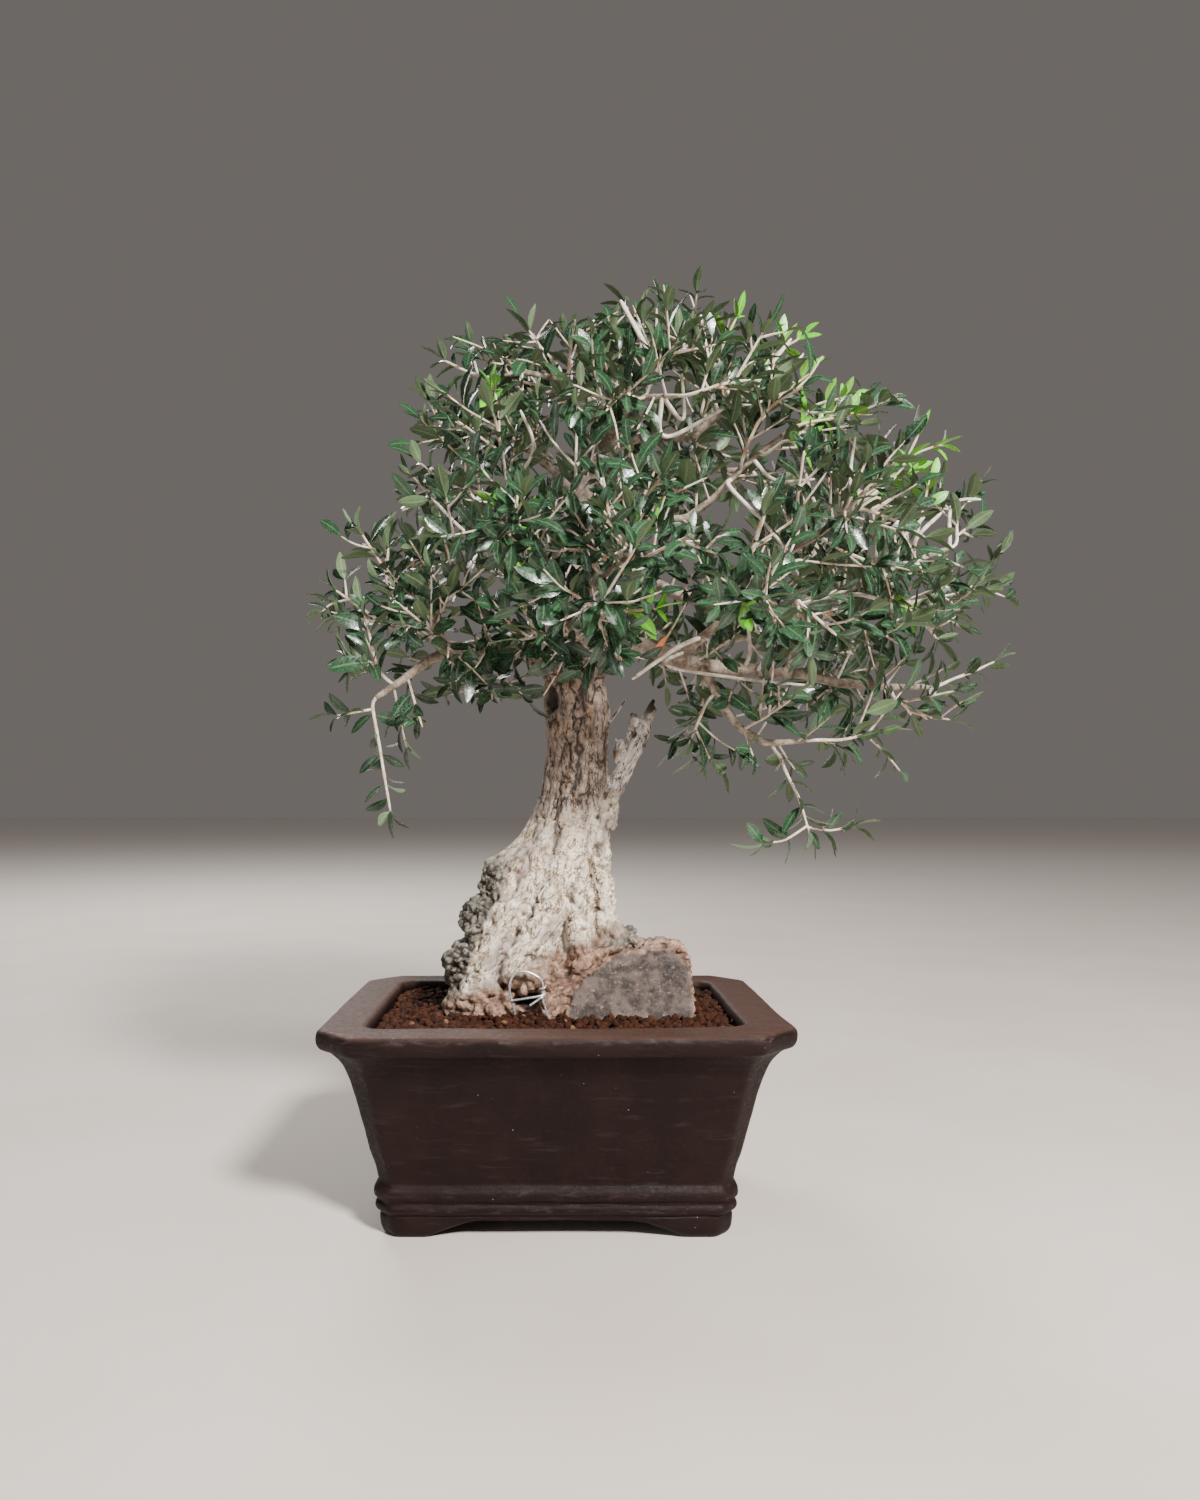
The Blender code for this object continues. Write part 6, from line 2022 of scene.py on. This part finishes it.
def grow_filler(body, tip, places, taken, crowd, draw, young):
    """One twig from the limbs to a tip, with its shoots and leaves; a young one has leaves at its
    end alone."""
    tip = Vector(tip)
    place, heading, radius, _ = twig_start(tip, places, taken)
    taken.append(place)
    for attempt in range(FILLER_TRIES):
        shift = jitter(draw, 1) * (2 + 0.8 * attempt)
        end = tip + shift * 0.5
        direction = outward(heading, (end - place).normalized())
        route = [place, place + direction * (radius + 5), (place + end) / 2 + UP * 5 + shift, end]
        if not within_box(end) or crowd.hits(*sheath([place + direction * (radius + 3), *route[2:]], 1.0)):
            continue
        route = smooth_path(route, 12)
        crowd.add(*sheath(route[1:], 0.8))
        if young:
            bare = max(distances(route)[-1] - 22, radius + 6)
            nodes = dress_route(body, route, crowd, draw, 0.85, bare, kept=1.0)
        else:
            nodes = side_shoots(body, route, crowd, draw, 1.0, radius + 12)
            nodes += dress_route(body, route, crowd, draw, 1.0, radius + 9)
        add_twig(body, route, *FILLER_RADII, draw, nodes)
        return


def grow_fillers(looks, crowd, places):
    groups = [("fine_young_shoots", "young", "young_leaves", YOUNG_SEED, YOUNG_TIPS)]
    for number, (group, tips) in enumerate(FILL_TIPS.items()):
        groups.append(("fine_fill_" + group, "leaf", "leaves", FILL_SEED + number, tips))
    taken = []
    for name, kind, slot, seed, tips in groups:
        draw = random.Random(seed)
        body = Body()
        for tip in tips:
            grow_filler(body, tip, places, taken, crowd, draw, kind == "young")
        stands_for(body.made(name, looks[kind], LEAF_SHARP), slot)


def grow_spurs(looks, crowd):
    """Short leafy shoots straight out of the limbs."""
    for number, (group, names) in enumerate(SPUR_GROUPS.items()):
        draw = random.Random(SPUR_SEED + number)
        body = Body()
        for name in names:
            start, end, points = LIMBS[name]
            route = smooth_path(points, LIMB_SEGMENT)
            total = distances(route)[-1]
            distance = SPUR_START.get(name, SPURS_FROM)
            while distance < total - 3:
                base, heading = along_route(route, distance)
                radius = start + (end - start) * distance / total
                for _ in range(SHOOT_TRIES):
                    side = side_of(heading, draw.uniform(0, math.tau))
                    direction = (heading * draw.uniform(0.2, 0.8) + side + UP * 0.35).normalized()
                    length = draw.uniform(*SPUR_LENGTH)
                    shoot = [base + direction * radius * 0.5, base + direction * (radius + length * 0.5),
                             base + direction * (radius + length) + UP * 2]
                    clear = [base + direction * (radius + 3), *shoot[1:]]
                    if within_box(shoot[-1]) and not crowd.hits(*sheath(clear, 0.9)):
                        crowd.add(*sheath(clear, 0.8))
                        nodes = dress_route(body, shoot, crowd, draw, 1.0, radius + 6)
                        add_twig(body, shoot, *SPUR_RADII, draw, nodes, sides=5)
                        break
                distance += SPUR_SPACING * draw.uniform(0.7, 1.3)
        stands_for(body.made("fine_spurs_" + group, looks["leaf"], LEAF_SHARP), "leaves")


# Stage

def make_stage():
    bpy.ops.mesh.primitive_plane_add(size=30, location=(0, 0, 0))
    floor = bpy.context.active_object
    floor.name = "floor"
    floor.data.materials.append(floor_looks())
    floor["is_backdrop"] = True
    world = bpy.data.worlds.new("studio")
    world.use_nodes = True
    background = world.node_tree.nodes["Background"]
    background.inputs[0].default_value = (*tint(228, 219, 212), 1)
    background.inputs[1].default_value = WORLD_STRENGTH
    bpy.context.scene.world = world
    for name, (place, radius, power, colour) in LAMPS.items():
        data = bpy.data.lights.new(name, "POINT")
        data.shadow_soft_size = radius
        data.energy = power
        data.color = colour
        lamp = bpy.data.objects.new(name, data)
        lamp.location = place
        bpy.context.scene.collection.objects.link(lamp)


def make_camera():
    data = bpy.data.cameras.new("camera")
    data.sensor_width = 36
    data.lens = LENS
    data.shift_x, data.shift_y = FRAMING
    camera = bpy.data.objects.new("camera", data)
    camera.location = (HOME + CAMERA_PLACE) * MM
    camera.rotation_euler = (math.pi / 2, 0, 0)
    bpy.context.scene.collection.objects.link(camera)
    bpy.context.scene.camera = camera


def main():
    make_camera()
    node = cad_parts["trunk_and_limbs"].data
    wood_points = [vertex.co / MM - HOME for vertex in node.vertices]
    wood_faces = [tuple(face.vertices) for face in node.polygons]
    trunk_tree = make_wood(wood_looks())
    make_pot(clay_looks())
    make_soil(grain_looks(), trunk_tree)
    make_wire(wire_looks())
    plastic = plastic_looks()
    for name in ("drainage_mesh_left", "drainage_mesh_right"):
        in_one_material(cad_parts[name].data, plastic)
    grow_foliage(leafy_looks(), wood_points, wood_faces)
    make_stage()


main()
boxes = {"cad": CAD_BOX, "visual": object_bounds()}
{name: [list(corner) for corner in box] for name, box in boxes.items()}
